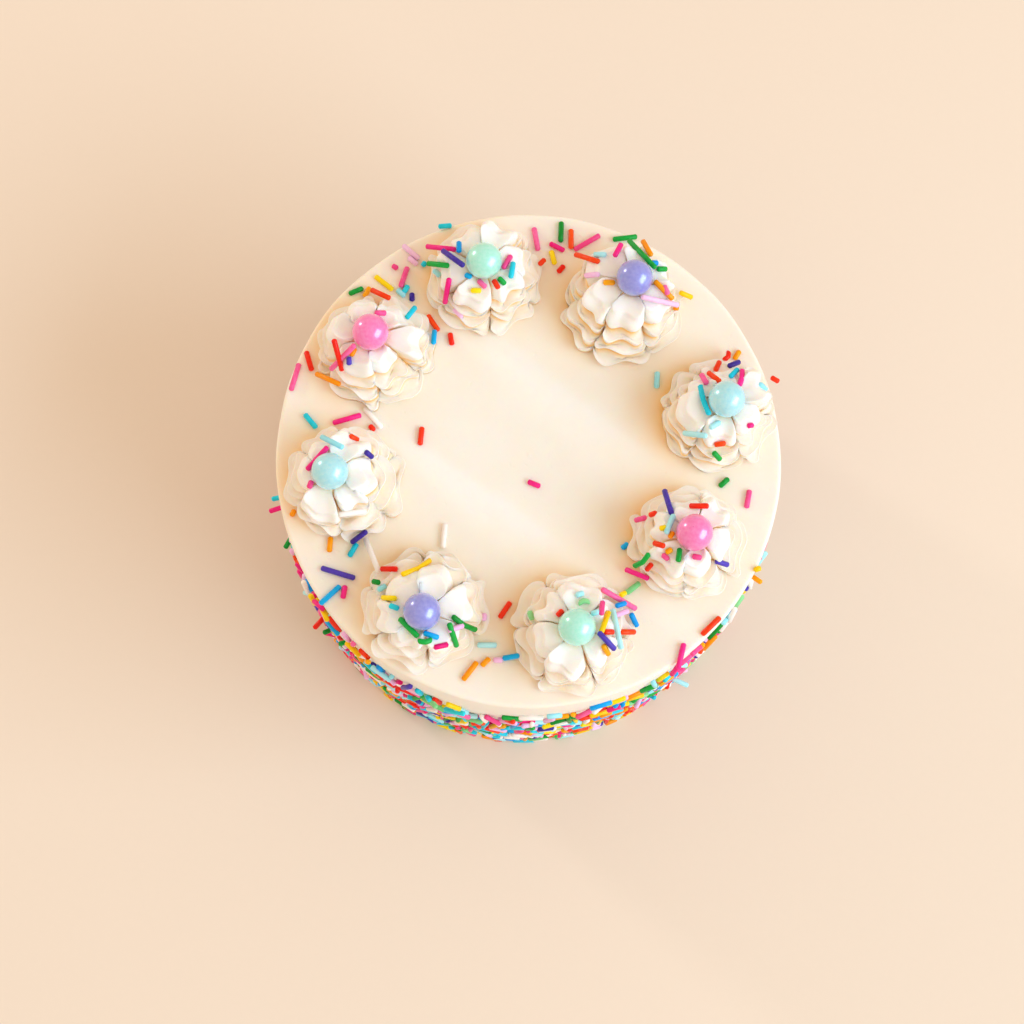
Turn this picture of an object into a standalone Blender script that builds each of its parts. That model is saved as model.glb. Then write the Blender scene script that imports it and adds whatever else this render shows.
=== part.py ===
"""A small round birthday cake with eight piped rosettes, eight sugar pearls and sprinkles.

The cake is one solid of icing that stands on its flat base. Eight buttercream rosettes ring
its top, each with a sugar pearl seated in its crown. Sprinkles cover the lower side and lie
on the top and the rosettes, and the largest of them are fused to what they lie on.

Frame: metres, +Z up, the origin on the cake's axis at its base, and -Y the cake's front.
"""
import math
import random
from typing import NamedTuple

import bmesh
import bpy
from mathutils import Matrix, Vector

# The cake
CAKE_RADIUS = 0.0780
CAKE_HEIGHT = 0.1170
TOP_EDGE_RADIUS = 0.0012
BASE_EDGE_RADIUS = 0.0008
CAKE_SIDES = 72
TOUCHING_GAP = 0.0003

# The ring of rosettes, piped by hand at nearly even places
ROSETTE_RING_RADIUS = 0.0570
FIRST_ROSETTE_ANGLE = math.radians(12.5)

# One rosette, piped from the bottom up in pleats that step inwards
ROSETTE_RADIUS = 0.0186
ROSETTE_LOBES = 6
PLEAT_COUNT = 4
PLEAT_HEIGHT = 0.0039
PLEAT_STEP = 0.0021
PLEAT_DEPTH = 0.0015
BASE_TUCK = 0.0012
CROWN_RADIUS = 0.0094
CROWN_HEIGHT = 0.0182
GROOVE_BASE_RADIUS = 0.0112
GROOVE_TOP_RADIUS = 0.0058
GROOVE_TOP_HEIGHT = 0.0152
LOBE_WANDER = math.radians(5.0)
PLEAT_WANDER = math.radians(3.0)
PLEAT_RADIUS_WANDER = 0.0006
STEP_SHARES = (0.50, 1.05)
ROSETTE_TWIST = math.radians(9.0)
LOBE_COLUMNS = (0.0, 0.16, 0.5, 0.84)
LOBE_MIDDLE_SHARE = 0.94
GROOVE_SHARE = 0.2

# The pearls
PEARL_RADIUS = 0.0055
PEARL_HEIGHT_ABOVE_TOP = 0.0208
SEAT_REACH = math.radians(50.0)
PEARL_SEGMENTS = 10
PEARL_RINGS = 7

# The sprinkles
SPRINKLE_RADIUS = 0.00085
SPRINKLE_SIDES = 6
SPRINKLE_TIP = 0.5
LONGEST_SPRINKLE = 0.0100
SHORTEST_SPRINKLE = 0.0065
SUNK_SHARE = 0.3
CANDIDATES = 24

# The sprinkles on the side, up to a line that rises and falls round the cake
SIDE_SPRINKLES = 104
SIDE_FOOT = 0.0065
LINE_HEIGHT = 0.0880
LINE_WAVE = 0.0090
LINE_WAVES_ROUND = 4
LINE_LEAN = 0.0050
LINE_PEAK_ANGLE = math.radians(-45.0)
STANDING_EVERY = 15
STANDING_TILT = math.radians(38.0)
STANDING_SUNK = 0.0030

# The loose sprinkles on the top, in the gaps between the rosettes and inside their ring
TOP_LENGTH_SHARE = 0.8
GAP_RADII = (0.0692, 0.0738)
GAP_SWING = math.radians(3.0)
INNER_SPRINKLES = 7
INNER_RADII = (0.0100, 0.0320)
TOP_HEADING_SWING = 0.45
SPRINKLE_CLEARANCE = 0.0010

# The sprinkles on each rosette
ROSETTE_SPRINKLES = 3
ROSETTE_SPRINKLE_LENGTH = 0.0068
ROSETTE_SPRINKLE_SWING = 0.6
CROWN_SHARE = 0.35

SHARP_ANGLE = math.radians(40.0)
ICING_COLOUR = (0.93, 0.86, 0.74)
PEARL_COLOURS = {
    "blue": (0.42, 0.80, 0.84),
    "lavender": (0.42, 0.39, 0.78),
    "mint": (0.45, 0.82, 0.66),
    "pink": (0.87, 0.31, 0.58),
}


class Place(NamedTuple):
    """How one rosette departs from its even place, and where its first groove points."""

    turn_degrees: float
    outward: float
    spread: float
    pearl_outward: float
    groove_degrees: float
    pearl_sideways: float = 0.0


ROSETTES = (
    Place(-0.4, 0.0018, 0.97, 0.0027, 57.0),
    Place(0.5, -0.0022, 1.02, 0.0021, 58.0),
    Place(1.8, 0.0000, 1.00, 0.0000, 33.0),
    Place(-1.8, -0.0002, 0.98, 0.0011, 31.0),
    Place(-3.0, 0.0000, 0.98, 0.0031, 24.0),
    Place(-1.0, 0.0004, 1.02, 0.0035, 31.0, 0.0019),
    Place(0.8, -0.0004, 1.02, 0.0005, 58.0),
    Place(2.3, -0.0015, 0.98, -0.0015, 25.0),
)


def clear_scene():
    """Remove every object of the open scene."""
    for obj in list(bpy.data.objects):
        bpy.data.objects.remove(obj, do_unlink=True)


def make_material(name, colour, roughness, coat):
    """Return a Principled material of one colour."""
    material = bpy.data.materials.new(name)
    material.use_nodes = True
    shader = material.node_tree.nodes["Principled BSDF"]
    shader.inputs["Base Color"].default_value = (*colour, 1.0)
    shader.inputs["Roughness"].default_value = roughness
    shader.inputs["Metallic"].default_value = 0.0
    shader.inputs["Coat Weight"].default_value = coat
    return material


def shade(mesh):
    """Shade a mesh smooth between its sharp edges."""
    mesh.shade_smooth()
    mesh.set_sharp_from_angle(angle=SHARP_ANGLE)


def make_object(name, bm, material, place=None):
    """Turn a bmesh into an object of the scene."""
    bmesh.ops.recalc_face_normals(bm, faces=bm.faces)
    mesh = bpy.data.meshes.new(name)
    bm.to_mesh(mesh)
    bm.free()
    mesh.materials.append(material)
    shade(mesh)
    obj = bpy.data.objects.new(name, mesh)
    obj.matrix_world = place or Matrix.Identity(4)
    bpy.context.scene.collection.objects.link(obj)
    return obj


def ring_angle(index):
    """Return the azimuth of an even place of the ring."""
    return FIRST_ROSETTE_ANGLE + index * math.tau / len(ROSETTES)


def ring_point(index, outward, sideways=0.0):
    """Return the point of the cake's top at a rosette, so far out from the ring and along it."""
    radius = ROSETTE_RING_RADIUS + outward
    angle = ring_angle(index) + math.radians(ROSETTES[index].turn_degrees)
    along = Vector((-math.sin(angle), math.cos(angle), 0.0))
    return Vector((radius * math.cos(angle), radius * math.sin(angle), CAKE_HEIGHT)) + along * sideways


def corner_arc(centre_radius, centre_height, radius, start, end, steps):
    """Return the points of a rounded corner of a turned outline."""
    points = []
    for step in range(steps + 1):
        angle = start + (end - start) * step / steps
        points.append((centre_radius + radius * math.cos(angle), centre_height + radius * math.sin(angle)))
    return points


def build_cake_body():
    """Return the plain cake: a turned outline with a small round at its top and base edges."""
    outline = [(0.0, 0.0)]
    outline += corner_arc(CAKE_RADIUS - BASE_EDGE_RADIUS, BASE_EDGE_RADIUS, BASE_EDGE_RADIUS,
                          -math.pi / 2, 0.0, 1)
    outline += corner_arc(CAKE_RADIUS - TOP_EDGE_RADIUS, CAKE_HEIGHT - TOP_EDGE_RADIUS, TOP_EDGE_RADIUS,
                          0.0, math.pi / 2, 2)
    outline += [(0.0, CAKE_HEIGHT)]
    bm = bmesh.new()
    verts = [bm.verts.new((radius, 0.0, height)) for radius, height in outline]
    edges = [bm.edges.new(pair) for pair in zip(verts, verts[1:])]
    bmesh.ops.spin(bm, geom=verts + edges, axis=(0.0, 0.0, 1.0), cent=(0.0, 0.0, 0.0),
                   angle=math.tau, steps=CAKE_SIDES, use_merge=True)
    bmesh.ops.remove_doubles(bm, verts=bm.verts, dist=0.00001)
    return bm


def lobe_profile():
    """Return the (radius, height) points up a lobe's crest, from the base to the pearl's seat."""
    points = [(ROSETTE_RADIUS - BASE_TUCK, 0.0)]
    for pleat in range(PLEAT_COUNT):
        tip_radius = ROSETTE_RADIUS - pleat * PLEAT_STEP
        points.append((tip_radius, (pleat + 0.55) * PLEAT_HEIGHT))
        if pleat < PLEAT_COUNT - 1:
            points.append((tip_radius - PLEAT_DEPTH - PLEAT_STEP / 2, (pleat + 1.0) * PLEAT_HEIGHT))
    points.append((CROWN_RADIUS, CROWN_HEIGHT))
    return points


def groove_profile():
    """Return the points up the groove between two lobes, one for each point of a lobe."""
    crest = lobe_profile()
    points = []
    for _, height in crest:
        share = min(height / CROWN_HEIGHT, 1.0)
        radius = GROOVE_BASE_RADIUS + (GROOVE_TOP_RADIUS - GROOVE_BASE_RADIUS) * share
        points.append((radius, GROOVE_TOP_HEIGHT * share))
    return points


def seat_profile():
    """Return the points of the dish under the pearl, from its rim to its middle."""
    seat_radius = PEARL_RADIUS + TOUCHING_GAP
    points = []
    for share in (1.0, 0.5):
        angle = SEAT_REACH * share
        points.append((seat_radius * math.sin(angle), PEARL_HEIGHT_ABOVE_TOP - seat_radius * math.cos(angle)))
    return points


class RosetteForm:
    """The surface of one rosette about its own middle, with its own uneven lobes and pleats."""

    def __init__(self, index):
        """Draw the lobes' places and the pleats' reach from the rosette's own seed."""
        draw = random.Random(200 + index)
        place = ROSETTES[index]
        self.start = math.radians(place.groove_degrees)
        self.spread = place.spread
        self.middle = ring_point(index, place.outward)
        self.lean = ring_point(index, place.pearl_outward, place.pearl_sideways) - self.middle
        self.hand = draw.choice((-1.0, 1.0))
        self.lobe_shift = [draw.uniform(-LOBE_WANDER, LOBE_WANDER) for _ in range(ROSETTE_LOBES)]
        self.pleat_turn = []
        self.pleat_reach = []
        for _ in range(ROSETTE_LOBES):
            self.pleat_turn.append([draw.uniform(-PLEAT_WANDER, PLEAT_WANDER) for _ in range(PLEAT_COUNT)])
            self.pleat_reach.append(
                [draw.uniform(-PLEAT_RADIUS_WANDER, PLEAT_RADIUS_WANDER) for _ in range(PLEAT_COUNT)])
        self.step_share = [draw.uniform(*STEP_SHARES) for _ in range(ROSETTE_LOBES)]

    def lobe_start(self, lobe):
        """Return the angle of the groove before a lobe."""
        wrapped = lobe % ROSETTE_LOBES
        return self.start + lobe * math.tau / ROSETTE_LOBES + self.lobe_shift[wrapped]

    def point(self, lobe, across, row, crest, groove):
        """Return a surface point, across a lobe from 0 to 1 and up its profile by a row number."""
        edge = min(across, 1.0 - across)
        share = 1.0 - max(0.0, 1.0 - edge / GROOVE_SHARE) ** 1.5
        first = self.lobe_start(lobe)
        last = self.lobe_start(lobe + 1)
        angle = first + (last - first) * across
        pleat = min(row // 2, PLEAT_COUNT - 1)
        crest_radius, crest_height = crest[row]
        groove_radius, groove_height = groove[row]
        flat_end = LOBE_MIDDLE_SHARE / math.cos((last - first) * (across - 0.5))
        steps_in = min(max(row - 1, 0) / 2, PLEAT_COUNT - 1)
        crest_radius += steps_in * PLEAT_STEP * (1.0 - self.step_share[lobe])
        crest_radius = crest_radius * flat_end * self.spread + self.pleat_reach[lobe][pleat]
        radius = groove_radius + (crest_radius - groove_radius) * share
        height = groove_height + (crest_height - groove_height) * share
        angle += self.pleat_turn[lobe][pleat] * share
        angle += self.hand * ROSETTE_TWIST * height / CROWN_HEIGHT
        upright = Vector((radius * math.cos(angle), radius * math.sin(angle), height))
        return upright + self.lean_at(height)

    def lean_at(self, height):
        """Return how far the rosette has leant towards its pearl at a height."""
        return self.lean * min(height / CROWN_HEIGHT, 1.0) ** 1.5


def add_ring(bm, below, points):
    """Add a ring of points and the faces down to the ring below it, and return it."""
    ring = [bm.verts.new(point) for point in points]
    if below:
        count = len(ring)
        for place in range(count):
            after = (place + 1) % count
            bm.faces.new((below[place], below[after], ring[after], ring[place]))
    return ring


def close_ring(bm, ring, point):
    """Close a ring with a fan of faces to one point."""
    pole = bm.verts.new(point)
    for place, vert in enumerate(ring):
        bm.faces.new((vert, ring[(place + 1) % len(ring)], pole))


def build_rosette(form):
    """Return the closed solid of a rosette, from its flat foot to the dish under its pearl."""
    crest = lobe_profile()
    groove = groove_profile()
    bm = bmesh.new()
    ring = None
    first_ring = None
    for row in range(len(crest)):
        points = [form.point(lobe, across, row, crest, groove)
                  for lobe in range(ROSETTE_LOBES) for across in LOBE_COLUMNS]
        ring = add_ring(bm, ring, points)
        first_ring = first_ring or ring
    turns = [math.atan2(vert.co.y - form.lean.y, vert.co.x - form.lean.x) for vert in ring]
    for radius, height in seat_profile():
        points = [form.lean + Vector((radius * math.cos(turn), radius * math.sin(turn), height))
                  for turn in turns]
        ring = add_ring(bm, ring, points)
    floor_height = PEARL_HEIGHT_ABOVE_TOP - PEARL_RADIUS - TOUCHING_GAP
    close_ring(bm, ring, form.lean + Vector((0.0, 0.0, floor_height)))
    close_ring(bm, first_ring, Vector((0.0, 0.0, 0.0)))
    return bm


def build_pearl():
    """Return a sugar pearl about its own middle."""
    bm = bmesh.new()
    bmesh.ops.create_uvsphere(bm, u_segments=PEARL_SEGMENTS, v_segments=PEARL_RINGS, radius=PEARL_RADIUS)
    return bm


def build_sprinkle(length):
    """Return a sprinkle along X about its own middle, with blunt rounded ends."""
    bm = bmesh.new()
    body = length - 2 * SPRINKLE_TIP * SPRINKLE_RADIUS
    bmesh.ops.create_cone(bm, cap_ends=True, cap_tris=True, segments=SPRINKLE_SIDES,
                          radius1=SPRINKLE_RADIUS, radius2=SPRINKLE_RADIUS, depth=body)
    for vert in bm.verts:
        if math.hypot(vert.co.x, vert.co.y) < SPRINKLE_RADIUS / 2:
            vert.co.z += math.copysign(SPRINKLE_TIP * SPRINKLE_RADIUS, vert.co.z)
    bmesh.ops.rotate(bm, verts=bm.verts, cent=(0.0, 0.0, 0.0), matrix=Matrix.Rotation(math.pi / 2, 3, "Y"))
    return bm


def lying_place(point, normal, heading):
    """Return the place of a sprinkle that lies on a surface and points along a heading."""
    normal = normal.normalized()
    side = normal.cross(Vector((0.0, 0.0, 1.0)))
    if side.length < 0.1:
        side = Vector((1.0, 0.0, 0.0))
    side.normalize()
    other = normal.cross(side)
    along = side * math.cos(heading) + other * math.sin(heading)
    across = normal.cross(along)
    turn = Matrix((along, across, normal)).transposed()
    middle = point + normal * SPRINKLE_RADIUS * (1.0 - 2.0 * SUNK_SHARE)
    return Matrix.Translation(middle) @ turn.to_4x4()


def sprinkle_line(azimuth):
    """Return the height up to which sprinkles cover the side at an azimuth."""
    turn = azimuth - LINE_PEAK_ANGLE
    return LINE_HEIGHT + LINE_WAVE * math.cos(LINE_WAVES_ROUND * turn) + LINE_LEAN * math.cos(turn)


def spread_side_places(draw):
    """Return evenly spread (azimuth, height) places on the side, each far from those before it."""
    places = []
    while len(places) < SIDE_SPRINKLES:
        best = None
        best_room = -1.0
        for _ in range(CANDIDATES):
            azimuth = draw.uniform(-math.pi, math.pi)
            height = draw.uniform(SIDE_FOOT, sprinkle_line(azimuth))
            room = 1.0
            for other_azimuth, other_height in places:
                turn = (azimuth - other_azimuth + math.pi) % math.tau - math.pi
                room = min(room, math.hypot(CAKE_RADIUS * turn, height - other_height))
            if room > best_room:
                best = (azimuth, height)
                best_room = room
        places.append(best)
    return places


def side_sprinkles():
    """Return the (length, place) of the sprinkles on the side, a few of them standing out."""
    draw = random.Random(11)
    found = []
    for number, (azimuth, height) in enumerate(spread_side_places(draw)):
        outward = Vector((math.cos(azimuth), math.sin(azimuth), 0.0))
        point = outward * CAKE_RADIUS + Vector((0.0, 0.0, height))
        length = draw.uniform(SHORTEST_SPRINKLE, LONGEST_SPRINKLE)
        heading = draw.uniform(0.0, math.pi)
        low_room = (height - SPRINKLE_RADIUS * 2) / (length / 2)
        if low_room < 1.0:
            heading = math.asin(max(low_room, 0.0)) * draw.uniform(-0.9, 0.9)
        place = lying_place(point, outward, heading)
        if number % STANDING_EVERY == STANDING_EVERY - 1:
            lean = Matrix.Rotation(-STANDING_TILT, 4, "Y")
            lift = Matrix.Translation((length / 2 - STANDING_SUNK, 0.0, 0.0))
            place = place @ lean @ lift
        found.append((length, place))
    return found


def top_spots(draw):
    """Return the (radius, azimuth) places of the loose sprinkles on the flat top."""
    spots = []
    for index in range(len(ROSETTES)):
        middle = ring_angle(index) + math.pi / len(ROSETTES)
        for radius in GAP_RADII:
            spots.append((radius, middle + draw.uniform(-GAP_SWING, GAP_SWING)))
    for number in range(INNER_SPRINKLES):
        azimuth = (number + draw.random()) * math.tau / INNER_SPRINKLES
        spots.append((draw.uniform(*INNER_RADII), azimuth))
    return spots


def top_sprinkles(forms):
    """Return the (length, place) of the loose sprinkles on the flat top, clear of the rosettes."""
    draw = random.Random(12)
    up = Vector((0.0, 0.0, 1.0))
    found = []
    for radius, azimuth in top_spots(draw):
        length = draw.uniform(SHORTEST_SPRINKLE, LONGEST_SPRINKLE) * TOP_LENGTH_SHARE
        heading = azimuth + math.pi / 2 + draw.uniform(-TOP_HEADING_SWING, TOP_HEADING_SWING)
        point = Vector((radius * math.cos(azimuth), radius * math.sin(azimuth), CAKE_HEIGHT))
        room = min((point - form.middle).length - ROSETTE_RADIUS * form.spread for form in forms)
        if room > length / 2 + SPRINKLE_CLEARANCE:
            found.append((length, lying_place(point, up, -heading)))
    return found


def rosette_sprinkles(form, index):
    """Return the (length, place) of the sprinkles that lie on a rosette's top ribbons."""
    draw = random.Random(300 + index)
    crest = lobe_profile()
    groove = groove_profile()
    last_row = len(crest) - 1
    first_lobe = draw.randrange(ROSETTE_LOBES)
    found = []
    for number in range(ROSETTE_SPRINKLES):
        lobe = (first_lobe + number * ROSETTE_LOBES // ROSETTE_SPRINKLES) % ROSETTE_LOBES
        crown = form.point(lobe, 0.5, last_row, crest, groove)
        tip = form.point(lobe, 0.5, last_row - 1, crest, groove)
        flank = form.point(lobe, LOBE_COLUMNS[-1], last_row, crest, groove)
        normal = (flank - crown).cross(crown - tip)
        point = crown.lerp(tip, CROWN_SHARE)
        heading = draw.uniform(-ROSETTE_SPRINKLE_SWING, ROSETTE_SPRINKLE_SWING)
        found.append((ROSETTE_SPRINKLE_LENGTH, lying_place(point, normal, heading)))
    return found


def fuse(target, sprinkles, material):
    """Join sprinkles to the solid that carries them with one union, and remove their objects."""
    group = bpy.data.collections.new(target.name + "_sprinkles")
    bpy.context.scene.collection.children.link(group)
    for number, (length, place) in enumerate(sprinkles):
        piece = make_object(f"{target.name}_sprinkle_{number}", build_sprinkle(length), material, place)
        bpy.context.scene.collection.objects.unlink(piece)
        group.objects.link(piece)
    union = target.modifiers.new("sprinkles", "BOOLEAN")
    union.operation = "UNION"
    union.operand_type = "COLLECTION"
    union.collection = group
    bpy.context.view_layer.update()
    graph = bpy.context.evaluated_depsgraph_get()
    joined = bpy.data.meshes.new_from_object(target.evaluated_get(graph))
    shade(joined)
    target.modifiers.remove(union)
    target.data = joined
    for piece in list(group.objects):
        bpy.data.objects.remove(piece, do_unlink=True)
    bpy.data.collections.remove(group)


def main():
    """Build the cake, its rosettes and its pearls."""
    clear_scene()
    icing = make_material("icing", ICING_COLOUR, 0.55, 0.0)
    pearls = {name: make_material("pearl_" + name, colour, 0.25, 0.5) for name, colour in PEARL_COLOURS.items()}
    colour_order = list(PEARL_COLOURS)

    forms = [RosetteForm(index) for index in range(len(ROSETTES))]

    cake = make_object("cake", build_cake_body(), icing)
    fuse(cake, side_sprinkles() + top_sprinkles(forms), icing)

    for index, form in enumerate(forms):
        foot = form.middle + Vector((0.0, 0.0, TOUCHING_GAP))
        rosette = make_object(f"rosette_{index + 1}", build_rosette(form), icing)
        fuse(rosette, rosette_sprinkles(form, index), icing)
        rosette.matrix_world = Matrix.Translation(foot)
        seat = Matrix.Translation(foot + form.lean + Vector((0.0, 0.0, PEARL_HEIGHT_ABOVE_TOP)))
        colour = colour_order[index % len(colour_order)]
        make_object(f"pearl_{index + 1}", build_pearl(), pearls[colour], seat)


main()
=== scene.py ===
"""Dresses a small round birthday cake: smooth icing, piped rosettes, sugar pearls and sprinkles.

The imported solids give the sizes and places. Each is replaced by a finer piece of the same
form, and the sprinkles are added at their true size, one piece for each colour. Sprinkles
that the photograph shows on the top are placed by its pixels and settled on what lies there.
"""
import logging
import math
import random
from dataclasses import dataclass, field
from enum import Enum
from typing import NamedTuple

import bmesh
import bpy
import numpy as np
from mathutils import Matrix, Vector, noise
from mathutils.bvhtree import BVHTree


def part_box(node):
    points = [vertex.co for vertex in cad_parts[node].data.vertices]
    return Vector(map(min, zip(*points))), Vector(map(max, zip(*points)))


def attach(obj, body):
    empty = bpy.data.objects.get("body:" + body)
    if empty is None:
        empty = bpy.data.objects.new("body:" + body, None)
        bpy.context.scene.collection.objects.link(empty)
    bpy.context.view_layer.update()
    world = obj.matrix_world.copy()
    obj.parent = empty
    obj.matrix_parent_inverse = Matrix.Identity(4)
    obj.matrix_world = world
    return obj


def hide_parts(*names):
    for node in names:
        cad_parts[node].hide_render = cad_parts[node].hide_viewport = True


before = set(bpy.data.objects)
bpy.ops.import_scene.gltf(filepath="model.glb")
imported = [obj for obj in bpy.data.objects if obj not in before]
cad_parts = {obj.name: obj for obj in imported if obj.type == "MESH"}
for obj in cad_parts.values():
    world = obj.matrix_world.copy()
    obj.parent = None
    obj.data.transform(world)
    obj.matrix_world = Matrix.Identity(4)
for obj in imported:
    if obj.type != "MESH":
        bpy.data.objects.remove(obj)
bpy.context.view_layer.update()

LOG = logging.getLogger("birthday_cake")
BODY = "root"
MERGE_DISTANCE = 0.000001
# Name of the point attribute that holds each point's share of painted shade.
SHADE_ATTRIBUTE = "painted_shade_share"
TONE = "tone"
CAKE_RADIUS = 0.0780
ROD_RADIUS = 0.00085
NOISE_SEED = 1
UP = Vector((0.0, 0.0, 1.0))

Colour = tuple[float, float, float]
Socket = bpy.types.NodeSocket


def srgb(red: float, green: float, blue: float) -> Colour:
    """Turn a display colour into the linear colour that a shader takes.

    Args:
        red: the display's red, in steps of 255.
        green: its green.
        blue: its blue.

    Returns:
        The linear colour.
    """
    def linear(step: float) -> float:
        """Return one channel without the display's curve."""
        share = step / 255.0
        return share / 12.92 if share <= 0.04045 else ((share + 0.055) / 1.055) ** 2.4
    return linear(red), linear(green), linear(blue)


def bump_between(value: float, low: float, high: float) -> float:
    """Return a smooth step from 0 at low to 1 at high."""
    share = min(max((value - low) / (high - low), 0.0), 1.0)
    return share * share * (3.0 - 2.0 * share)


def draw_between(draw: random.Random, low: float, high: float, count: int) -> list[float]:
    """Return so many numbers drawn between two bounds."""
    return [draw.uniform(low, high) for _ in range(count)]


def link_object(name: str, data: bpy.types.ID) -> bpy.types.Object:
    """Add an object to the scene.

    Args:
        name: the object's name.
        data: its camera, light or mesh.

    Returns:
        The object, at the origin.
    """
    made = bpy.data.objects.new(name, data)
    bpy.context.scene.collection.objects.link(made)
    return made


def mesh_from(name: str, bm: bmesh.types.BMesh) -> bpy.types.Mesh:
    """Turn a bmesh into a mesh.

    Args:
        name: the mesh's name.
        bm: its shape, in the frame's place. It is freed.

    Returns:
        The mesh.
    """
    mesh = bpy.data.meshes.new(name)
    bm.to_mesh(mesh)
    bm.free()
    return mesh


# Camera and light


@dataclass(frozen=True)
class PhotoCamera:
    """The photograph's camera: where it stands, what it looks at and its focal length.

    It looks down on the cake, with the cake's +Y up in the picture.
    """

    eye: Vector = Vector((-0.0146, -0.1253, 0.6716))
    aim: Vector = Vector((-0.0053, -0.0179, 0.1170))
    focal_pixels: float = 1850.0
    picture_pixels: float = 1024.0
    sensor_mm: float = 36.0

    def axes(self) -> tuple[Vector, Vector, Vector]:
        """Find the camera's own directions.

        Returns:
            Right, up and forward, each of unit length.
        """
        forward = (self.aim - self.eye).normalized()
        right = forward.cross(Vector((0.0, 1.0, 0.0))).normalized()
        return right, right.cross(forward), forward

    def ray(self, across: float, down: float) -> Vector:
        """Return the direction in which the camera sees a pixel.

        Args:
            across: pixels from the picture's left edge.
            down: pixels from the picture's top edge.

        Returns:
            A direction of unit length.
        """
        right, up, forward = self.axes()
        middle = self.picture_pixels / 2
        sideways = right * (across - middle) / self.focal_pixels
        upwards = up * (middle - down) / self.focal_pixels
        return (forward + sideways + upwards).normalized()

    def build(self) -> bpy.types.Object:
        """Build the camera as the scene's own.

        Returns:
            The camera's object.
        """
        data = bpy.data.cameras.new("photo_camera")
        data.lens = self.sensor_mm * self.focal_pixels / self.picture_pixels
        data.sensor_width = self.sensor_mm
        data.clip_start = 0.01
        data.dof.use_dof = False
        camera = link_object("photo_camera", data)
        right, up, forward = self.axes()
        turn = Matrix((right, up, -forward)).transposed()
        camera.matrix_world = Matrix.Translation(self.eye) @ turn.to_4x4()
        bpy.context.scene.camera = camera
        return camera


@dataclass(frozen=True)
class StudioLight:
    """A soft square of light that stands off the cake in one direction."""

    name: str
    azimuth: float
    elevation: float
    distance: float
    width: float
    height: float
    watts: float
    colour: Colour = (1.0, 1.0, 1.0)

    def build(self, target: Vector) -> bpy.types.Object:
        """Build the light.

        Args:
            target: the point that it is turned towards.

        Returns:
            The light's object.
        """
        azimuth, elevation = math.radians(self.azimuth), math.radians(self.elevation)
        flat = math.cos(elevation)
        away = Vector((flat * math.cos(azimuth), flat * math.sin(azimuth), math.sin(elevation)))
        data = bpy.data.lights.new(self.name, "AREA")
        data.shape = "RECTANGLE"
        data.size = self.width
        data.size_y = self.height
        data.energy = self.watts
        data.color = self.colour
        light = link_object(self.name, data)
        light.location = target + away * self.distance
        light.rotation_euler = (-away).to_track_quat("-Z", "Y").to_euler()
        return light


@dataclass
class Studio:
    """The pale floor, the warm room round it and the lights."""

    floor_size: float = 6.0
    floor_colour: Colour = srgb(237, 222, 206)
    tooth_scale: float = 400.0
    tooth_shade: float = 0.985
    room_colour: Colour = (1.0, 0.808, 0.625)
    room_strength: float = 0.85
    backdrop_colour: Colour = srgb(249, 228, 206)
    target: Vector = field(default_factory=lambda: Vector((0.0, 0.0, 0.10)))
    lights: tuple[StudioLight, ...] = (
        StudioLight("window", -22.0, 34.0, 2.2, 1.9, 1.3, 38.0, (0.62, 0.83, 1.0)),
        StudioLight("lamp", 144.0, 16.0, 1.2, 0.12, 0.12, 2.2, (1.0, 0.98, 0.95)),
    )

    def build_floor(self) -> bpy.types.Object:
        """Build the floor.

        Returns:
            The floor's object.
        """
        bm = bmesh.new()
        bmesh.ops.create_grid(bm, x_segments=8, y_segments=8, size=self.floor_size / 2)
        mesh = mesh_from("floor", bm)
        mesh.materials.append(self.floor_material())
        floor = link_object("floor", mesh)
        return floor

    def floor_material(self) -> bpy.types.Material:
        """Make the floor's matt paper, with a faint tooth.

        Returns:
            The material.
        """
        sheet = MaterialMaker("floor_paper")
        tooth = sheet.node("TexNoise")
        tooth.inputs["Scale"].default_value = self.tooth_scale
        sheet.wire(sheet.place(), tooth.inputs["Vector"])
        shade = tuple(part * self.tooth_shade for part in self.floor_colour)
        sheet.wire(sheet.mix(tooth.outputs[0], self.floor_colour, shade), sheet.surface["Base Color"])
        sheet.surface["Roughness"].default_value = 0.85
        return sheet.material

    def build_room(self) -> None:
        """Give the scene its warm surroundings, which the camera sees as a pale backdrop."""
        world = bpy.data.worlds.new("room")
        bpy.context.scene.world = world
        world.use_nodes = True
        tree = world.node_tree
        lighting = tree.nodes["Background"]
        lighting.inputs["Color"].default_value = (*self.room_colour, 1.0)
        lighting.inputs["Strength"].default_value = self.room_strength
        seen = tree.nodes.new("ShaderNodeBackground")
        seen.inputs["Color"].default_value = (*self.backdrop_colour, 1.0)
        path = tree.nodes.new("ShaderNodeLightPath")
        mix = tree.nodes.new("ShaderNodeMixShader")
        tree.links.new(path.outputs["Is Camera Ray"], mix.inputs["Fac"])
        tree.links.new(lighting.outputs["Background"], mix.inputs[1])
        tree.links.new(seen.outputs["Background"], mix.inputs[2])
        tree.links.new(mix.outputs["Shader"], tree.nodes["World Output"].inputs["Surface"])

    def build(self) -> None:
        """Build the floor, the room and the lights."""
        self.build_floor()
        self.build_room()
        for light in self.lights:
            light.build(self.target)
        bpy.context.scene.view_settings.view_transform = "Standard"


# Materials


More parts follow.
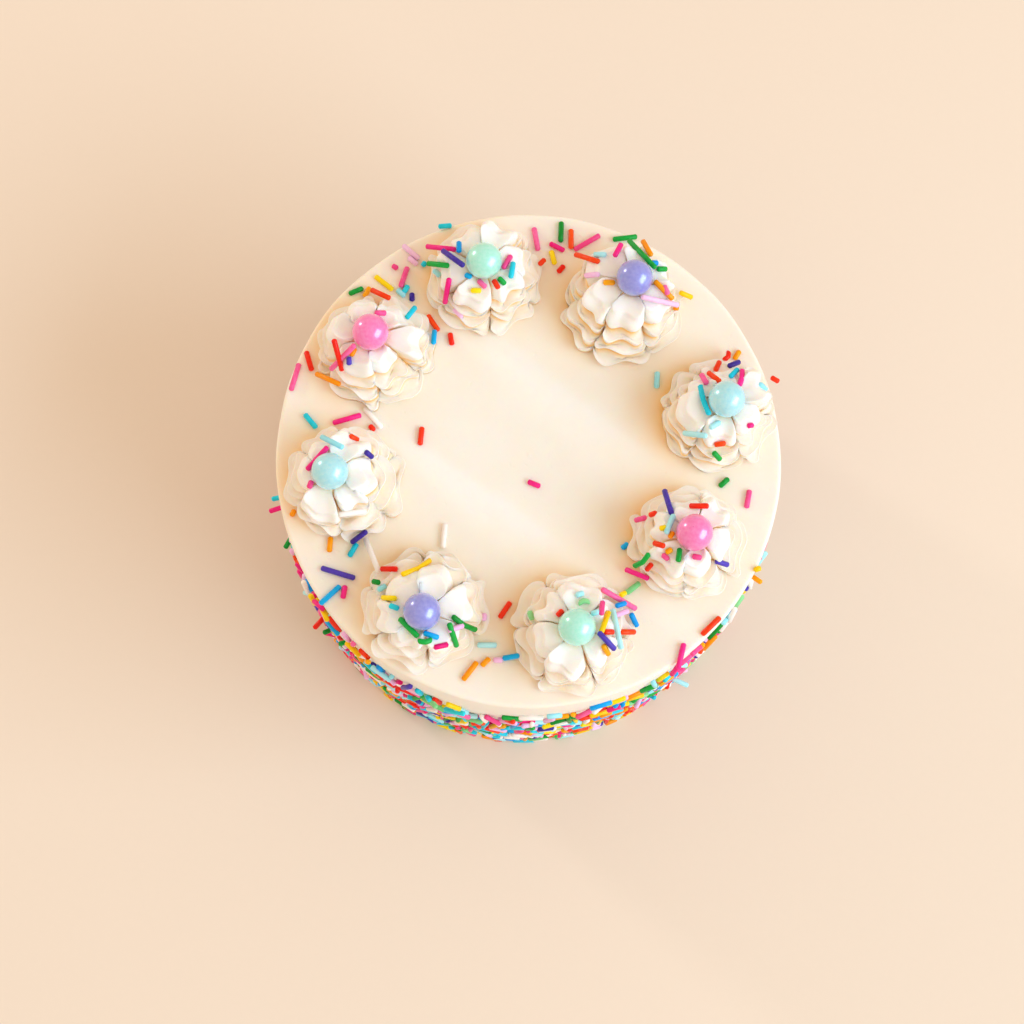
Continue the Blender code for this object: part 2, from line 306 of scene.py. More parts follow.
class NodeMaker:
    """Nodes under construction in one shader tree."""

    def __init__(self, tree: bpy.types.NodeTree) -> None:
        """Start work in a tree."""
        self.tree = tree

    def node(self, kind: str, **settings: object) -> bpy.types.Node:
        """Add a node.

        Args:
            kind: its type, after the words that every shader node starts with.
            settings: its own properties.

        Returns:
            The new node.
        """
        made = self.tree.nodes.new("ShaderNode" + kind)
        for name, value in settings.items():
            setattr(made, name, value)
        return made

    def wire(self, source: Socket, target: Socket) -> None:
        """Link an output to an input."""
        self.tree.links.new(source, target)

    def mix(self, mask: Socket, low: Socket | Colour, high: Socket | Colour) -> Socket:
        """Mix two colours.

        Args:
            mask: 0 where the first colour shows, and 1 where the second does.
            low: the first colour, or the output that gives it.
            high: the second, in the same way.

        Returns:
            The mixed colour.
        """
        made = self.node("Mix", data_type="RGBA")
        self.wire(mask, made.inputs[0])
        for place, colour in ((6, low), (7, high)):
            if isinstance(colour, Socket):
                self.wire(colour, made.inputs[place])
            else:
                made.inputs[place].default_value = (*colour, 1.0)
        return made.outputs[2]


class MaterialMaker(NodeMaker):
    """A material under construction, round one Principled shader."""

    def __init__(self, name: str) -> None:
        """Start a material.

        Args:
            name: the material's name.
        """
        self.material = bpy.data.materials.new(name)
        self.material.use_nodes = True
        super().__init__(self.material.node_tree)
        self.surface = self.tree.nodes["Principled BSDF"].inputs

    def place(self) -> Socket:
        """Return the object's own coordinates, in metres."""
        return self.node("TexCoord").outputs["Object"]

    def attribute(self, name: str) -> Socket:
        """Return the number that a piece's points hold under a name."""
        return self.node("Attribute", attribute_name=name).outputs["Fac"]

    def group(self, tree: bpy.types.NodeTree, **values: object) -> bpy.types.Node:
        """Place a shader group on the object's coordinates.

        Args:
            tree: the group.
            values: what its named inputs are set to.

        Returns:
            The group's node.
        """
        made = self.node("Group", node_tree=tree)
        for name, value in values.items():
            made.inputs[name].default_value = value
        self.wire(self.place(), made.inputs["Vector"])
        return made

    def dress(self, look: bpy.types.Node, colour: Socket, depth: float,
              constants: dict[str, object]) -> bpy.types.Material:
        """Wire the surface up and set what is the same all over it.

        Args:
            look: the group's node, which gives the roughness and the relief's height.
            colour: the surface's colour.
            depth: how deep the relief is, in metres.
            constants: the shader's other inputs and their values.

        Returns:
            The finished material.
        """
        self.wire(colour, self.surface["Base Color"])
        self.wire(look.outputs["Roughness"], self.surface["Roughness"])
        bump = self.node("Bump")
        bump.inputs["Strength"].default_value = 1.0
        bump.inputs["Distance"].default_value = depth
        self.wire(look.outputs["Height"], bump.inputs["Height"])
        self.wire(bump.outputs["Normal"], self.surface["Normal"])
        for name, value in constants.items():
            self.surface[name].default_value = value
        return self.material


class GroupMaker(NodeMaker):
    """A shader group under construction, with named inputs and outputs."""

    def __init__(self, name: str, inputs: dict[str, str], outputs: dict[str, str]) -> None:
        """Start a group.

        Args:
            name: the group's name.
            inputs: the name and the kind of each input.
            outputs: the name and the kind of each output.
        """
        super().__init__(bpy.data.node_groups.new(name, "ShaderNodeTree"))
        for side, sockets in (("INPUT", inputs), ("OUTPUT", outputs)):
            for socket, kind in sockets.items():
                self.tree.interface.new_socket(name=socket, in_out=side, socket_type="NodeSocket" + kind)
        self.given = self.tree.nodes.new("NodeGroupInput").outputs
        self.result = self.tree.nodes.new("NodeGroupOutput").inputs

    def noise(self, scale: float, detail: float = 2.0, stretch: Vector | None = None,
              turn: float = 0.0) -> Socket:
        """Add a noise on the group's Vector.

        Args:
            scale: how many features there are to a metre.
            detail: how many finer layers the noise has.
            stretch: how much finer the noise is along each axis, or None for even noise.
            turn: the turn of that stretch about Z, in radians.

        Returns:
            The noise's value, about 0.5 on average.
        """
        made = self.node("TexNoise")
        made.inputs["Scale"].default_value = scale
        made.inputs["Detail"].default_value = detail
        source = self.given["Vector"]
        if stretch is not None:
            mapping = self.node("Mapping")
            mapping.inputs["Rotation"].default_value = (0.0, 0.0, turn)
            mapping.inputs["Scale"].default_value = stretch
            self.wire(source, mapping.inputs["Vector"])
            source = mapping.outputs["Vector"]
        self.wire(source, made.inputs["Vector"])
        return made.outputs[0]

    def math(self, operation: str, first: Socket | float, second: Socket | float) -> Socket:
        """Do a sum.

        Args:
            operation: the kind of sum.
            first: the first number, or the output that gives it.
            second: the second, in the same way.

        Returns:
            The sum's result.
        """
        made = self.node("Math", operation=operation)
        for place, value in enumerate((first, second)):
            if isinstance(value, Socket):
                self.wire(value, made.inputs[place])
            else:
                made.inputs[place].default_value = value
        return made.outputs[0]

    def vary(self, scale: float, spread: float, base: float) -> Socket:
        """Return a noise of a scale that spreads upwards from a base."""
        return self.math("ADD", self.math("MULTIPLY", self.noise(scale), spread), base)

    def ramp(self, value: Socket, low: float, high: float) -> Socket:
        """Turn a value into a smooth mask.

        Args:
            value: the value.
            low: where the mask is 0.
            high: where it is 1.

        Returns:
            The mask.
        """
        made = self.node("MapRange", interpolation_type="SMOOTHSTEP")
        made.inputs["From Min"].default_value = low
        made.inputs["From Max"].default_value = high
        self.wire(value, made.inputs["Value"])
        return made.outputs["Result"]


def whipped_icing_group() -> bpy.types.NodeTree:
    """Build the shader group of whipped icing: cloudy cream, fine grain and tiny air pits.

    Returns:
        The group. Grain and Strokes say how deep the fine grain and the spatula's strokes are.
    """
    maker = GroupMaker(
        "whipped_icing",
        {"Vector": "Vector", "Cream": "Color", "Butter": "Color", "Grain": "Float", "Strokes": "Float"},
        {"Colour": "Color", "Height": "Float", "Roughness": "Float"})
    cloud = maker.ramp(maker.noise(scale=70.0, detail=3.0), low=0.35, high=0.70)
    maker.wire(maker.mix(cloud, maker.given["Cream"], maker.given["Butter"]), maker.result["Colour"])
    grain = maker.math("MULTIPLY", maker.noise(scale=1500.0, detail=4.0), maker.given["Grain"])
    sweep = maker.noise(scale=1.0, detail=3.0, stretch=Vector((14.0, 150.0, 210.0)), turn=math.radians(27.0))
    strokes = maker.math("MULTIPLY", sweep, maker.given["Strokes"])
    pits = maker.ramp(maker.noise(scale=420.0, detail=1.0), low=0.68, high=0.76)
    relief = maker.math("SUBTRACT", maker.math("ADD", grain, strokes), maker.math("MULTIPLY", pits, 0.5))
    maker.wire(relief, maker.result["Height"])
    maker.wire(maker.vary(scale=160.0, spread=0.16, base=0.40), maker.result["Roughness"])
    return maker.tree


def sugar_shell_group() -> bpy.types.NodeTree:
    """Build the shader group of a sugar shell: a colour that varies a little, and a fine skin.

    Returns:
        The group. Tone goes from the pale colour to the deep one, and Speckle is the skin's depth.
    """
    maker = GroupMaker(
        "sugar_shell",
        {"Vector": "Vector", "Tone": "Float", "Pale": "Color", "Deep": "Color", "Speckle": "Float"},
        {"Colour": "Color", "Height": "Float", "Roughness": "Float"})
    blotch = maker.math("MULTIPLY", maker.math("SUBTRACT", maker.noise(scale=900.0), 0.5), 1.1)
    mask = maker.ramp(maker.math("ADD", maker.given["Tone"], blotch), low=0.0, high=1.0)
    maker.wire(maker.mix(mask, maker.given["Pale"], maker.given["Deep"]), maker.result["Colour"])
    skin = maker.math("MULTIPLY", maker.noise(scale=2600.0), maker.given["Speckle"])
    maker.wire(skin, maker.result["Height"])
    maker.wire(maker.vary(scale=1300.0, spread=0.22, base=0.22), maker.result["Roughness"])
    return maker.tree


@dataclass(frozen=True)
class IcingFinish:
    """Buttercream: cream-white, satin, and lit from within like any fat."""

    name: str
    cream: Colour = srgb(249, 249, 246)
    # The icing's own buttery tone, mixed with the cream in clouds of noise.
    butter: Colour = srgb(249, 247, 242)
    # Amber colour of the painted shade, mixed in by each point's share.
    painted_shade_tint: Colour = srgb(255, 198, 96)
    grain: float = 0.5
    strokes: float = 0.0
    relief: float = 0.00010
    gloss: float = 0.35
    subsurface: float = 0.45
    subsurface_spread: Colour = (1.0, 0.62, 0.36)
    subsurface_reach: float = 0.0025

    def build(self, group: bpy.types.NodeTree) -> bpy.types.Material:
        """Build the finish.

        Args:
            group: the shared group of whipped icing.

        Returns:
            The material. A piece's points say how much painted shade, in an amber tint, they take.
        """
        maker = MaterialMaker(self.name)
        icing = maker.group(group, Cream=(*self.cream, 1.0), Butter=(*self.butter, 1.0),
                            Grain=self.grain, Strokes=self.strokes)
        # Painted shade: the amber tint mixed over the icing by each point's share.
        with_painted_shade = maker.mix(maker.attribute(SHADE_ATTRIBUTE), icing.outputs["Colour"], self.painted_shade_tint)
        return maker.dress(icing, with_painted_shade, self.relief, {
            "Specular IOR Level": self.gloss,
            "Subsurface Weight": self.subsurface,
            "Subsurface Radius": self.subsurface_spread,
            "Subsurface Scale": self.subsurface_reach,
        })


@dataclass(frozen=True)
class SugarFinish:
    """Coloured sugar, pearl-coated on the balls and plainly polished on the sprinkles."""

    name: str
    pale: Colour
    deep: Colour
    coat: float = 0.0
    coat_index: float = 1.5
    coat_roughness: float = 0.20
    gloss: float = 0.5
    sheen: float = 0.0
    sheen_roughness: float = 0.35
    metallic: float = 0.0
    subsurface: float = 0.08
    subsurface_reach: float = 0.0008
    speckle: float = 0.4
    relief: float = 0.00004
    tone_attribute: str = ""

    def build(self, group: bpy.types.NodeTree) -> bpy.types.Material:
        """Build the finish.

        Args:
            group: the shared group of a sugar shell.

        Returns:
            The material, whose tone follows the piece's points where they have one.
        """
        maker = MaterialMaker(self.name)
        shell = maker.group(group, Tone=0.5, Pale=(*self.pale, 1.0), Deep=(*self.deep, 1.0),
                            Speckle=self.speckle)
        if self.tone_attribute:
            maker.wire(maker.attribute(self.tone_attribute), shell.inputs["Tone"])
        return maker.dress(shell, shell.outputs["Colour"], self.relief, {
            "Specular IOR Level": self.gloss,
            "Coat Weight": self.coat,
            "Coat Roughness": self.coat_roughness,
            "Coat IOR": self.coat_index,
            "Sheen Weight": self.sheen,
            "Sheen Roughness": self.sheen_roughness,
            "Metallic": self.metallic,
            "Subsurface Weight": self.subsurface,
            "Subsurface Scale": self.subsurface_reach,
        })


# Pieces


def add_piece(name: str, mesh: bpy.types.Mesh, material: bpy.types.Material, slot: str,
              *nodes: str) -> None:
    """Make a mesh a piece of the cake, which rides on its one body.

    Args:
        name: the piece's name.
        mesh: its shape, in the frame's place.
        material: its finish.
        slot: not used.
        nodes: the solids that it stands for.
    """
    mesh.shade_smooth()
    mesh.materials.append(material)
    piece = link_object(name, mesh)
    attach(piece, BODY)
    if nodes:
        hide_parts(*nodes)
    LOG.info("%s: %d faces", piece.name, len(mesh.polygons))


@dataclass
class CakeIcing:
    """The smooth coat of icing: a turned form with the faint strokes of the spatula."""

    radius: float = CAKE_RADIUS
    height: float = 0.1170
    top_edge: float = 0.0012
    base_edge: float = 0.0008
    sides: int = 288
    side_rows: int = 44
    top_rows: int = 104
    edge_steps: int = 5
    stroke_angle: float = math.radians(-27.0)
    stroke_lift: float = 0.00035
    stroke_scales: tuple[float, float] = (60.0, 9.0)
    swell_scale: float = 22.0
    swell_share: float = 0.4
    side_wave: float = 0.00025
    side_scales: tuple[float, float] = (2.2, 40.0)
    edge_wave: float = 0.00035
    edge_scale: float = 4.0
    edge_start: float = 0.09
    top_fade: float = 0.006
    base_fade: float = 0.004
    # Low ridges on the top, each from a start to an end point; along them the icing is also painted paler, as
    # painted highlight bands.
    ridges_and_painted_highlights: tuple[tuple[float, float, float, float], ...] = (
        (-0.0438, 0.0084, 0.0084, -0.0280), (-0.0143, 0.0402, 0.0421, -0.0044),
    )
    smear_height: float = 0.00015
    smear_width: float = 0.0022
    smear_fade: float = 0.0060
    smear_end: float = 0.20
    plain_shade: float = 0.08
    rosettes: tuple[Vector, ...] = ()
    rosette_foot: float = 0.0165
    # Painted shade beside the rosettes: its reach, its share all round and on the sheltered side, and the
    # heading of that side, away from the window light.
    painted_shade_reach: float = 0.0050
    painted_shade_all_round: float = 0.13
    painted_shade_sheltered: float = 0.62
    painted_shade_heading: float = math.radians(158.0)

    def outline(self) -> list[tuple[float, float]]:
        """Trace the outline that is turned, from the middle of the base to the middle of the top.

        Returns:
            Its points, each as a radius and a height.
        """
        points = [(0.0, 0.0), (self.radius / 2, 0.0)]
        points += self.corner(self.base_edge, self.base_edge, -math.pi / 2, 0.0)
        low, high = self.base_edge, self.height - self.top_edge
        for row in range(1, self.side_rows):
            points.append((self.radius, low + (high - low) * row / self.side_rows))
        points += self.corner(self.top_edge, high, 0.0, math.pi / 2)
        flat = self.radius - self.top_edge
        for row in range(1, self.top_rows + 1):
            points.append((flat * (1.0 - row / self.top_rows), self.height))
        return points

    def corner(self, rounding: float, height: float, start: float, end: float) -> list[tuple[float, float]]:
        """Trace a rounded corner of the outline.

        Args:
            rounding: its radius.
            height: the height of its middle.
            start: the angle where it starts, from outwards towards up.
            end: the angle where it ends.

        Returns:
            Its points, each as a radius and a height.
        """
        points = []
        for step in range(self.edge_steps + 1):
            angle = start + (end - start) * step / self.edge_steps
            points.append((self.radius - rounding + rounding * math.cos(angle),
                           height + rounding * math.sin(angle)))
        return points

    def shape(self) -> bmesh.types.BMesh:
        """Turn the outline and lay the spatula's strokes on it.

        Returns:
            A closed mesh, whose points hold their share of painted shade.
        """
        bm = bmesh.new()
        verts = [bm.verts.new((radius, 0.0, height)) for radius, height in self.outline()]
        edges = [bm.edges.new(pair) for pair in zip(verts, verts[1:])]
        bmesh.ops.spin(bm, geom=verts + edges, axis=(0.0, 0.0, 1.0), cent=(0.0, 0.0, 0.0),
                       angle=math.tau, steps=self.sides, use_merge=True)
        bmesh.ops.remove_doubles(bm, verts=bm.verts, dist=MERGE_DISTANCE)
        painted_shade_tint = bm.verts.layers.float.new(SHADE_ATTRIBUTE)
        for vert in bm.verts:
            vert[painted_shade_tint] = self.butter(vert.co)
            vert.co += self.spatula(vert.co)
        bmesh.ops.recalc_face_normals(bm, faces=bm.faces)
        return bm

    def spatula(self, point: Vector) -> Vector:
        """Find how far the spatula left the surface from its true form.

        Args:
            point: a point of the true form.

        Returns:
            The step from it to the surface.
        """
        reach = math.hypot(point.x, point.y)
        if reach < MERGE_DISTANCE:
            return Vector()
        outward = Vector((point.x / reach, point.y / reach, 0.0))
        top_share = bump_between(point.z, self.height - self.top_edge, self.height)
        side_share = bump_between(point.z, 0.0, self.base_fade) * (1.0 - top_share)
        across = point.y * math.cos(self.stroke_angle) - point.x * math.sin(self.stroke_angle)
        along = point.x * math.cos(self.stroke_angle) + point.y * math.sin(self.stroke_angle)
        stroke_across, stroke_along = self.stroke_scales
        stroke = noise.noise(Vector((across * stroke_across, along * stroke_along, 3.0)))
        swell = noise.noise(Vector((point.x * self.swell_scale, point.y * self.swell_scale, 7.0)))
        drop = (stroke * (1.0 - self.swell_share) + swell * self.swell_share - 0.5) * self.stroke_lift
        drop += self.smear_height * max(self.ridge_and_painted_highlight(point, *ends) for ends in self.ridges_and_painted_highlights)
        round_scale, up_scale = self.side_scales
        wave = noise.noise(outward * round_scale + UP * (point.z * up_scale))
        rim = noise.noise(outward * self.edge_scale) * self.edge_wave
        rim *= bump_between(point.z, self.edge_start, self.height)
        sideways = outward * (wave * self.side_wave + rim - self.side_wave) * (side_share + top_share)
        return sideways + UP * (drop * top_share * bump_between(self.radius - reach, 0.0, self.top_fade))

    def butter(self, point: Vector) -> float:
        """Find the icing's share of painted shade: an even tint, less along the painted highlight bands, and
        most beside a rosette on its side away from the window light.

        Args:
            point: a point of the true form.

        Returns:
            A share from 0 to 1.
        """
        if point.z < self.height - self.top_edge:
            return self.plain_shade
        # An even tint all over the top, taken away along the painted highlight bands.
        shade = self.plain_shade * (1.0 - max(self.ridge_and_painted_highlight(point, *ends) for ends in self.ridges_and_painted_highlights))
        # Painted shade round each rosette, heaviest on its side away from the window light.
        heading = Vector((math.cos(self.painted_shade_heading), math.sin(self.painted_shade_heading)))
        for middle in self.rosettes:
            away = Vector((point.x - middle.x, point.y - middle.y))
            sheltered = max(away.normalized().dot(heading), 0.0)
            gap = max(away.length - self.rosette_foot, 0.0)
            shade_amount = self.painted_shade_all_round + self.painted_shade_sheltered * sheltered
            shade += math.exp(-gap / self.painted_shade_reach) * shade_amount
        return min(shade, 1.0)

    def ridge_and_painted_highlight(self, point: Vector, start_x: float, start_y: float, end_x: float, end_y: float) -> float:
        """Find how much a point belongs to a low ridge on the top, along which the icing is also painted
        paler as a painted highlight band.

        Args:
            point: the point of the surface.
            start_x: where the ridge starts, along X.
            start_y: where it starts, along Y.
            end_x: where it ends, along X.
            end_y: where it ends, along Y.

        Returns:
            A share from 0 to 1, which fades faster on the far side than on the near one.
        """
        run = Vector((end_x - start_x, end_y - start_y))
        offset = Vector((point.x - start_x, point.y - start_y))
        share = offset.dot(run) / run.length_squared
        across = (offset - run * share).dot(Vector((-run.y, run.x)).normalized())
        ends = bump_between(share, -self.smear_end, self.smear_end)
        ends *= 1.0 - bump_between(share, 1.0 - self.smear_end, 1.0 + self.smear_end)
        return ends * math.exp(-(across / (self.smear_fade if across < 0.0 else self.smear_width)) ** 2)


class RosettePlace(NamedTuple):
    """How one rosette departs from its even place, and where its first groove points."""

    turn_degrees: float
    outward: float
    spread: float
    pearl_outward: float
    groove_degrees: float
    pearl_sideways: float = 0.0


ROSETTE_PLACES = (
    RosettePlace(-0.4, 0.0018, 0.97, 0.0027, 57.0),
    RosettePlace(0.5, -0.0022, 1.02, 0.0021, 58.0),
    RosettePlace(1.8, 0.0000, 1.00, 0.0000, 33.0),
    RosettePlace(-1.8, -0.0002, 0.98, 0.0011, 31.0),
    RosettePlace(-3.0, 0.0000, 0.98, 0.0031, 24.0),
    RosettePlace(-1.0, 0.0004, 1.02, 0.0035, 31.0, 0.0019),
    RosettePlace(0.8, -0.0004, 1.02, 0.0005, 58.0),
    RosettePlace(2.3, -0.0015, 0.98, -0.0015, 25.0),
)


class Row(NamedTuple):
    """One row up a lobe.

    It has the distance of the lobe's flat end from the middle, the height there, its tier, how
    much of the tier's unevenness it takes, how much it belongs to the crevice under a tier, and
    how much painted shade its icing takes.
    """

    reach: float
    height: float
    tier: int
    loose: float
    deep: float = 0.0
    shade_amount: float = 0.0


@dataclass
class Rosette:
    """One piped rosette: six lobes of thin stacked tiers under tongues that run to the middle."""

    index: int
    foot_height: float
    ring_radius: float = 0.0570
    first_angle: float = math.radians(12.5)
    radius: float = 0.0186
    lobes: int = 6
    seed: int = 200
    fine_seed: int = 500
    tiers: int = 4
    tier_height: float = 0.0039
    tip_share: float = 0.55
    crevice_share: float = 0.72
    tier_step: float = 0.0021
    undercut: float = 0.0014
    lip: float = 0.0003
    base_tuck: float = 0.0012
    crown_height: float = 0.0182
    groove_base_radius: float = 0.0128
    groove_top_radius: float = 0.0066
    groove_top_height: float = 0.0168
    flat_share: float = 0.95
    width_slope: float = 0.79
    width_start: float = 0.0020
    neck_slope: float = 1.2
    neck_start: float = 0.0024
    side_gap: float = 0.98
    groove_limit: float = 0.95
    climb_power: float = 1.3
    corner: float = 0.0036
    corner_limit: float = 0.35
    # Painted shade: a little all along each crease, more deep in crevices and grooves, some low down the
    # rosette and round the pearl's seat.
    painted_shade_spread: float = 0.10
    painted_shade_power: float = 2.5
    painted_low_shade: float = 0.03
    painted_seat_shade: float = 0.8
    ruffles: float = 1.25
    curl_start: tuple[float, float] = (0.0085, 0.0115)
    tongue_start: tuple[float, float] = (0.0145, 0.0175)
    loose_start: tuple[float, float] = (0.0045, 0.0085)
    round_start: tuple[float, float] = (0.0042, 0.0062)
    wobble: float = 0.00030
    wobble_scale: float = 170.0
    lobe_wander: float = math.radians(5.0)
    tier_wander: float = math.radians(3.0)
    tier_reach_wander: float = 0.0006
    step_shares: tuple[float, float] = (0.50, 1.05)
    twist: float = math.radians(9.0)
    seat_radius: float = 0.0056
    seat_middle: float = 0.0208
    seat_reach: float = math.radians(50.0)
    wall_columns: int = 7
    corner_columns: int = 6
    flat_columns: int = 7
    tier_rows: int = 18
    tongue_rows: int = 26
    seat_rows: int = 6
    sunk: float = 0.0005

    def __post_init__(self) -> None:
        """Draw the rosette's uneven lobes and tiers from its own seeds."""
        draw = random.Random(self.seed + self.index)
        place = ROSETTE_PLACES[self.index]
        self.start = math.radians(place.groove_degrees)
        self.spread = place.spread
        self.middle = self.ring_point(place.outward)
        self.lean = self.ring_point(place.pearl_outward, place.pearl_sideways) - self.middle
        self.hand = draw.choice((-1.0, 1.0))
        self.lobe_shift = draw_between(draw, -self.lobe_wander, self.lobe_wander, self.lobes)
        self.tier_turn, self.tier_reach = [], []
        for _ in range(self.lobes):
            for kept, wander in ((self.tier_turn, self.tier_wander),
                                 (self.tier_reach, self.tier_reach_wander)):
                kept.append(draw_between(draw, -wander, wander, self.tiers))
        self.step_share = draw_between(draw, *self.step_shares, self.lobes)
        fine = random.Random(self.fine_seed + self.index)
        self.tier_tilt = self.draw_tiers(fine, -0.0010, 0.0010)
        self.tier_wave = self.draw_tiers(fine, 0.0004, 0.0010)
        self.tier_curl = self.draw_tiers(fine, 0.0002, 0.0008)
        self.tier_phase = self.draw_tiers(fine, 0.0, math.tau)
        self.tier_slide = [list(np.cumsum(steps)) for steps in self.draw_tiers(fine, -0.0005, 0.0005)]
        self.tier_width = [sorted(widths, reverse=True) for widths in self.draw_tiers(fine, 0.86, 1.08)]
        self.corner_size = self.draw_tiers(fine, 0.5, 1.6)
        self.bite = self.draw_tiers(fine, 0.6, 1.5)
        self.dish = draw_between(fine, 0.0003, 0.0012, self.lobes)
        self.rim_lift = draw_between(fine, 0.0002, 0.0010, self.lobes)
        self.tongue_lift = draw_between(fine, -0.0009, 0.0004, self.lobes)

    def draw_tiers(self, draw: random.Random, low: float, high: float) -> list[list[float]]:
        """Return a number between two bounds for every tier of every lobe."""
        return [draw_between(draw, low, high, self.tiers) for _ in range(self.lobes)]

    def ring_point(self, outward: float, sideways: float = 0.0) -> Vector:
        """Find a level point near the rosette's middle.

        Args:
            outward: how far out from the ring it is.
            sideways: how far along the ring it is.

        Returns:
            The point, at height 0.
        """
        turn = math.radians(ROSETTE_PLACES[self.index].turn_degrees)
        angle = self.first_angle + self.index * math.tau / len(ROSETTE_PLACES) + turn
        reach = self.ring_radius + outward
        along = Vector((-math.sin(angle), math.cos(angle), 0.0))
        return Vector((reach * math.cos(angle), reach * math.sin(angle), 0.0)) + along * sideways

    def rows(self) -> list[Row]:
        """Set out the rows up a lobe.

        Returns:
            The rows, from the middle of the base to the middle of the pearl's seat.
        """
        foot = self.radius * self.flat_share - self.base_tuck
        rows = [Row(0.0, -self.sunk, 0, 0.0), Row(foot, -self.sunk, 0, 1.0)]
        for tier in range(self.tiers - 1):
            path = self.tier_path(tier)
            for step in range(self.tier_rows):
                spot = (len(path) - 1) * step / self.tier_rows
                reach, height = smooth_path(path, spot)
                deep = 1.0 - min(spot, len(path) - 1 - spot, 1.0)
                # Painted shade on the ledge under the next tier's lip.
                shade_amount = 1.0 - min(spot / 1.5, (len(path) - 1 - spot) / 2.2, 1.0)
                own = tier if spot < len(path) - 2 else tier + 1
                rows.append(Row(reach, height, own, 1.0, deep, shade_amount))
        path = self.tongue_path()
        for step in range(self.tongue_rows):
            spot = (len(path) - 1) * step / self.tongue_rows
            reach, height = smooth_path(path, spot)
            deep = 1.0 - min(spot, 1.0)
            inner = bump_between(spot, len(path) - 2.6, len(path) - 1.0)
            # Painted shade in the crevice under the tongue and round the pearl's seat.
            shade_amount = max(1.0 - spot / 1.5, self.painted_seat_shade * inner)
            loose = bump_between(reach, *self.loose_start)
            rows.append(Row(reach, height, self.tiers - 1, loose, deep, shade_amount))
        for step in range(self.seat_rows + 1):
            angle = self.seat_reach * (1.0 - step / self.seat_rows)
            height = self.seat_middle - self.seat_radius * math.cos(angle)
            rows.append(Row(self.seat_radius * math.sin(angle), height, self.tiers - 1, 0.0,
                            shade_amount=self.painted_seat_shade))
        return rows

    def tip(self, tier: int) -> tuple[float, float]:
        """Return the reach and height of a tier's lip."""
        reach = self.radius * self.flat_share - tier * self.tier_step
        return reach, (tier + self.tip_share) * self.tier_height

    def crevice(self, tier: int) -> tuple[float, float]:
        """Find the crevice under a tier.

        Args:
            tier: the tier's number, from 0 at the foot.

        Returns:
            The crevice's reach and height.
        """
        if tier == 0:
            return self.radius * self.flat_share - self.base_tuck, -self.sunk
        reach, height = self.tip(tier)
        return reach - self.undercut, height - self.tier_height * self.crevice_share

    def tier_path(self, tier: int) -> list[tuple[float, float]]:
        """Trace one lower tier.

        Args:
            tier: the tier's number, from 0 at the foot.

        Returns:
            The reach and height of its points, from the crevice under it to the next one.
        """
        reach, height = self.tip(tier)
        above = self.tip(tier + 1)[0]
        return [
            self.crevice(tier),
            (reach - self.lip * 1.3, height - self.lip * 2.6),
            (reach, height - self.lip * 0.6),
            (reach - self.lip * 0.4, height + self.lip * 0.4),
            (reach - self.lip * 2.2, height - self.lip * 0.2),
            (above - self.lip, height - self.lip * 0.6),
            self.crevice(tier + 1),
        ]

    def tongue_path(self) -> list[tuple[float, float]]:
        """Trace the top tongue.

        Returns:
            The reach and height of its points, from the crevice under it to the seat's rim.
        """
        reach, height = self.tip(self.tiers - 1)
        rim = self.seat_radius * math.sin(self.seat_reach)
        rim_height = self.seat_middle - self.seat_radius * math.cos(self.seat_reach)
        return [
            self.crevice(self.tiers - 1),
            (reach - self.lip, height - self.lip * 1.5),
            (reach, height + self.lip),
            (reach - 0.0006, height + 0.0017),
            (reach - 0.0020, height + 0.0033),
            (0.0086, self.crown_height),
            (0.0062, self.crown_height - 0.0003),
            (rim, rim_height),
        ]

    def plan(self, side: float, reach: float, width: float, corner: float,
             groove: float) -> tuple[float, float, float]:
        """Return a point of a lobe's outline as seen from above.

        Args:
            side: how far across the half lobe it is, from 0 in the groove to 1 at the middle.
            reach: the distance of the flat end from the rosette's middle.
            width: the lobe's width.
            corner: the radius of its corners.
            groove: the distance of the groove's floor from the rosette's middle.

        Returns:
            The distances along and across the lobe, and how far up the groove's wall it is.
        """
        columns = self.wall_columns + self.corner_columns + self.flat_columns
        column = side * columns
        half = math.pi / self.lobes
        if column < self.wall_columns:
            share = column / self.wall_columns
            start = (groove * math.cos(half), groove * math.sin(half))
            along = start[0] + (reach - corner - start[0]) * share
            across = start[1] + (width / 2 - start[1]) * share
            return along, across, share
        if column < self.wall_columns + self.corner_columns:
            turn = math.pi / 2 * (1.0 - (column - self.wall_columns) / self.corner_columns)
            along = reach - corner + corner * math.cos(turn)
            return along, width / 2 - corner + corner * math.sin(turn), 1.0
        share = (column - self.wall_columns - self.corner_columns) / self.flat_columns
        return reach, (width / 2 - corner) * (1.0 - share), 1.0

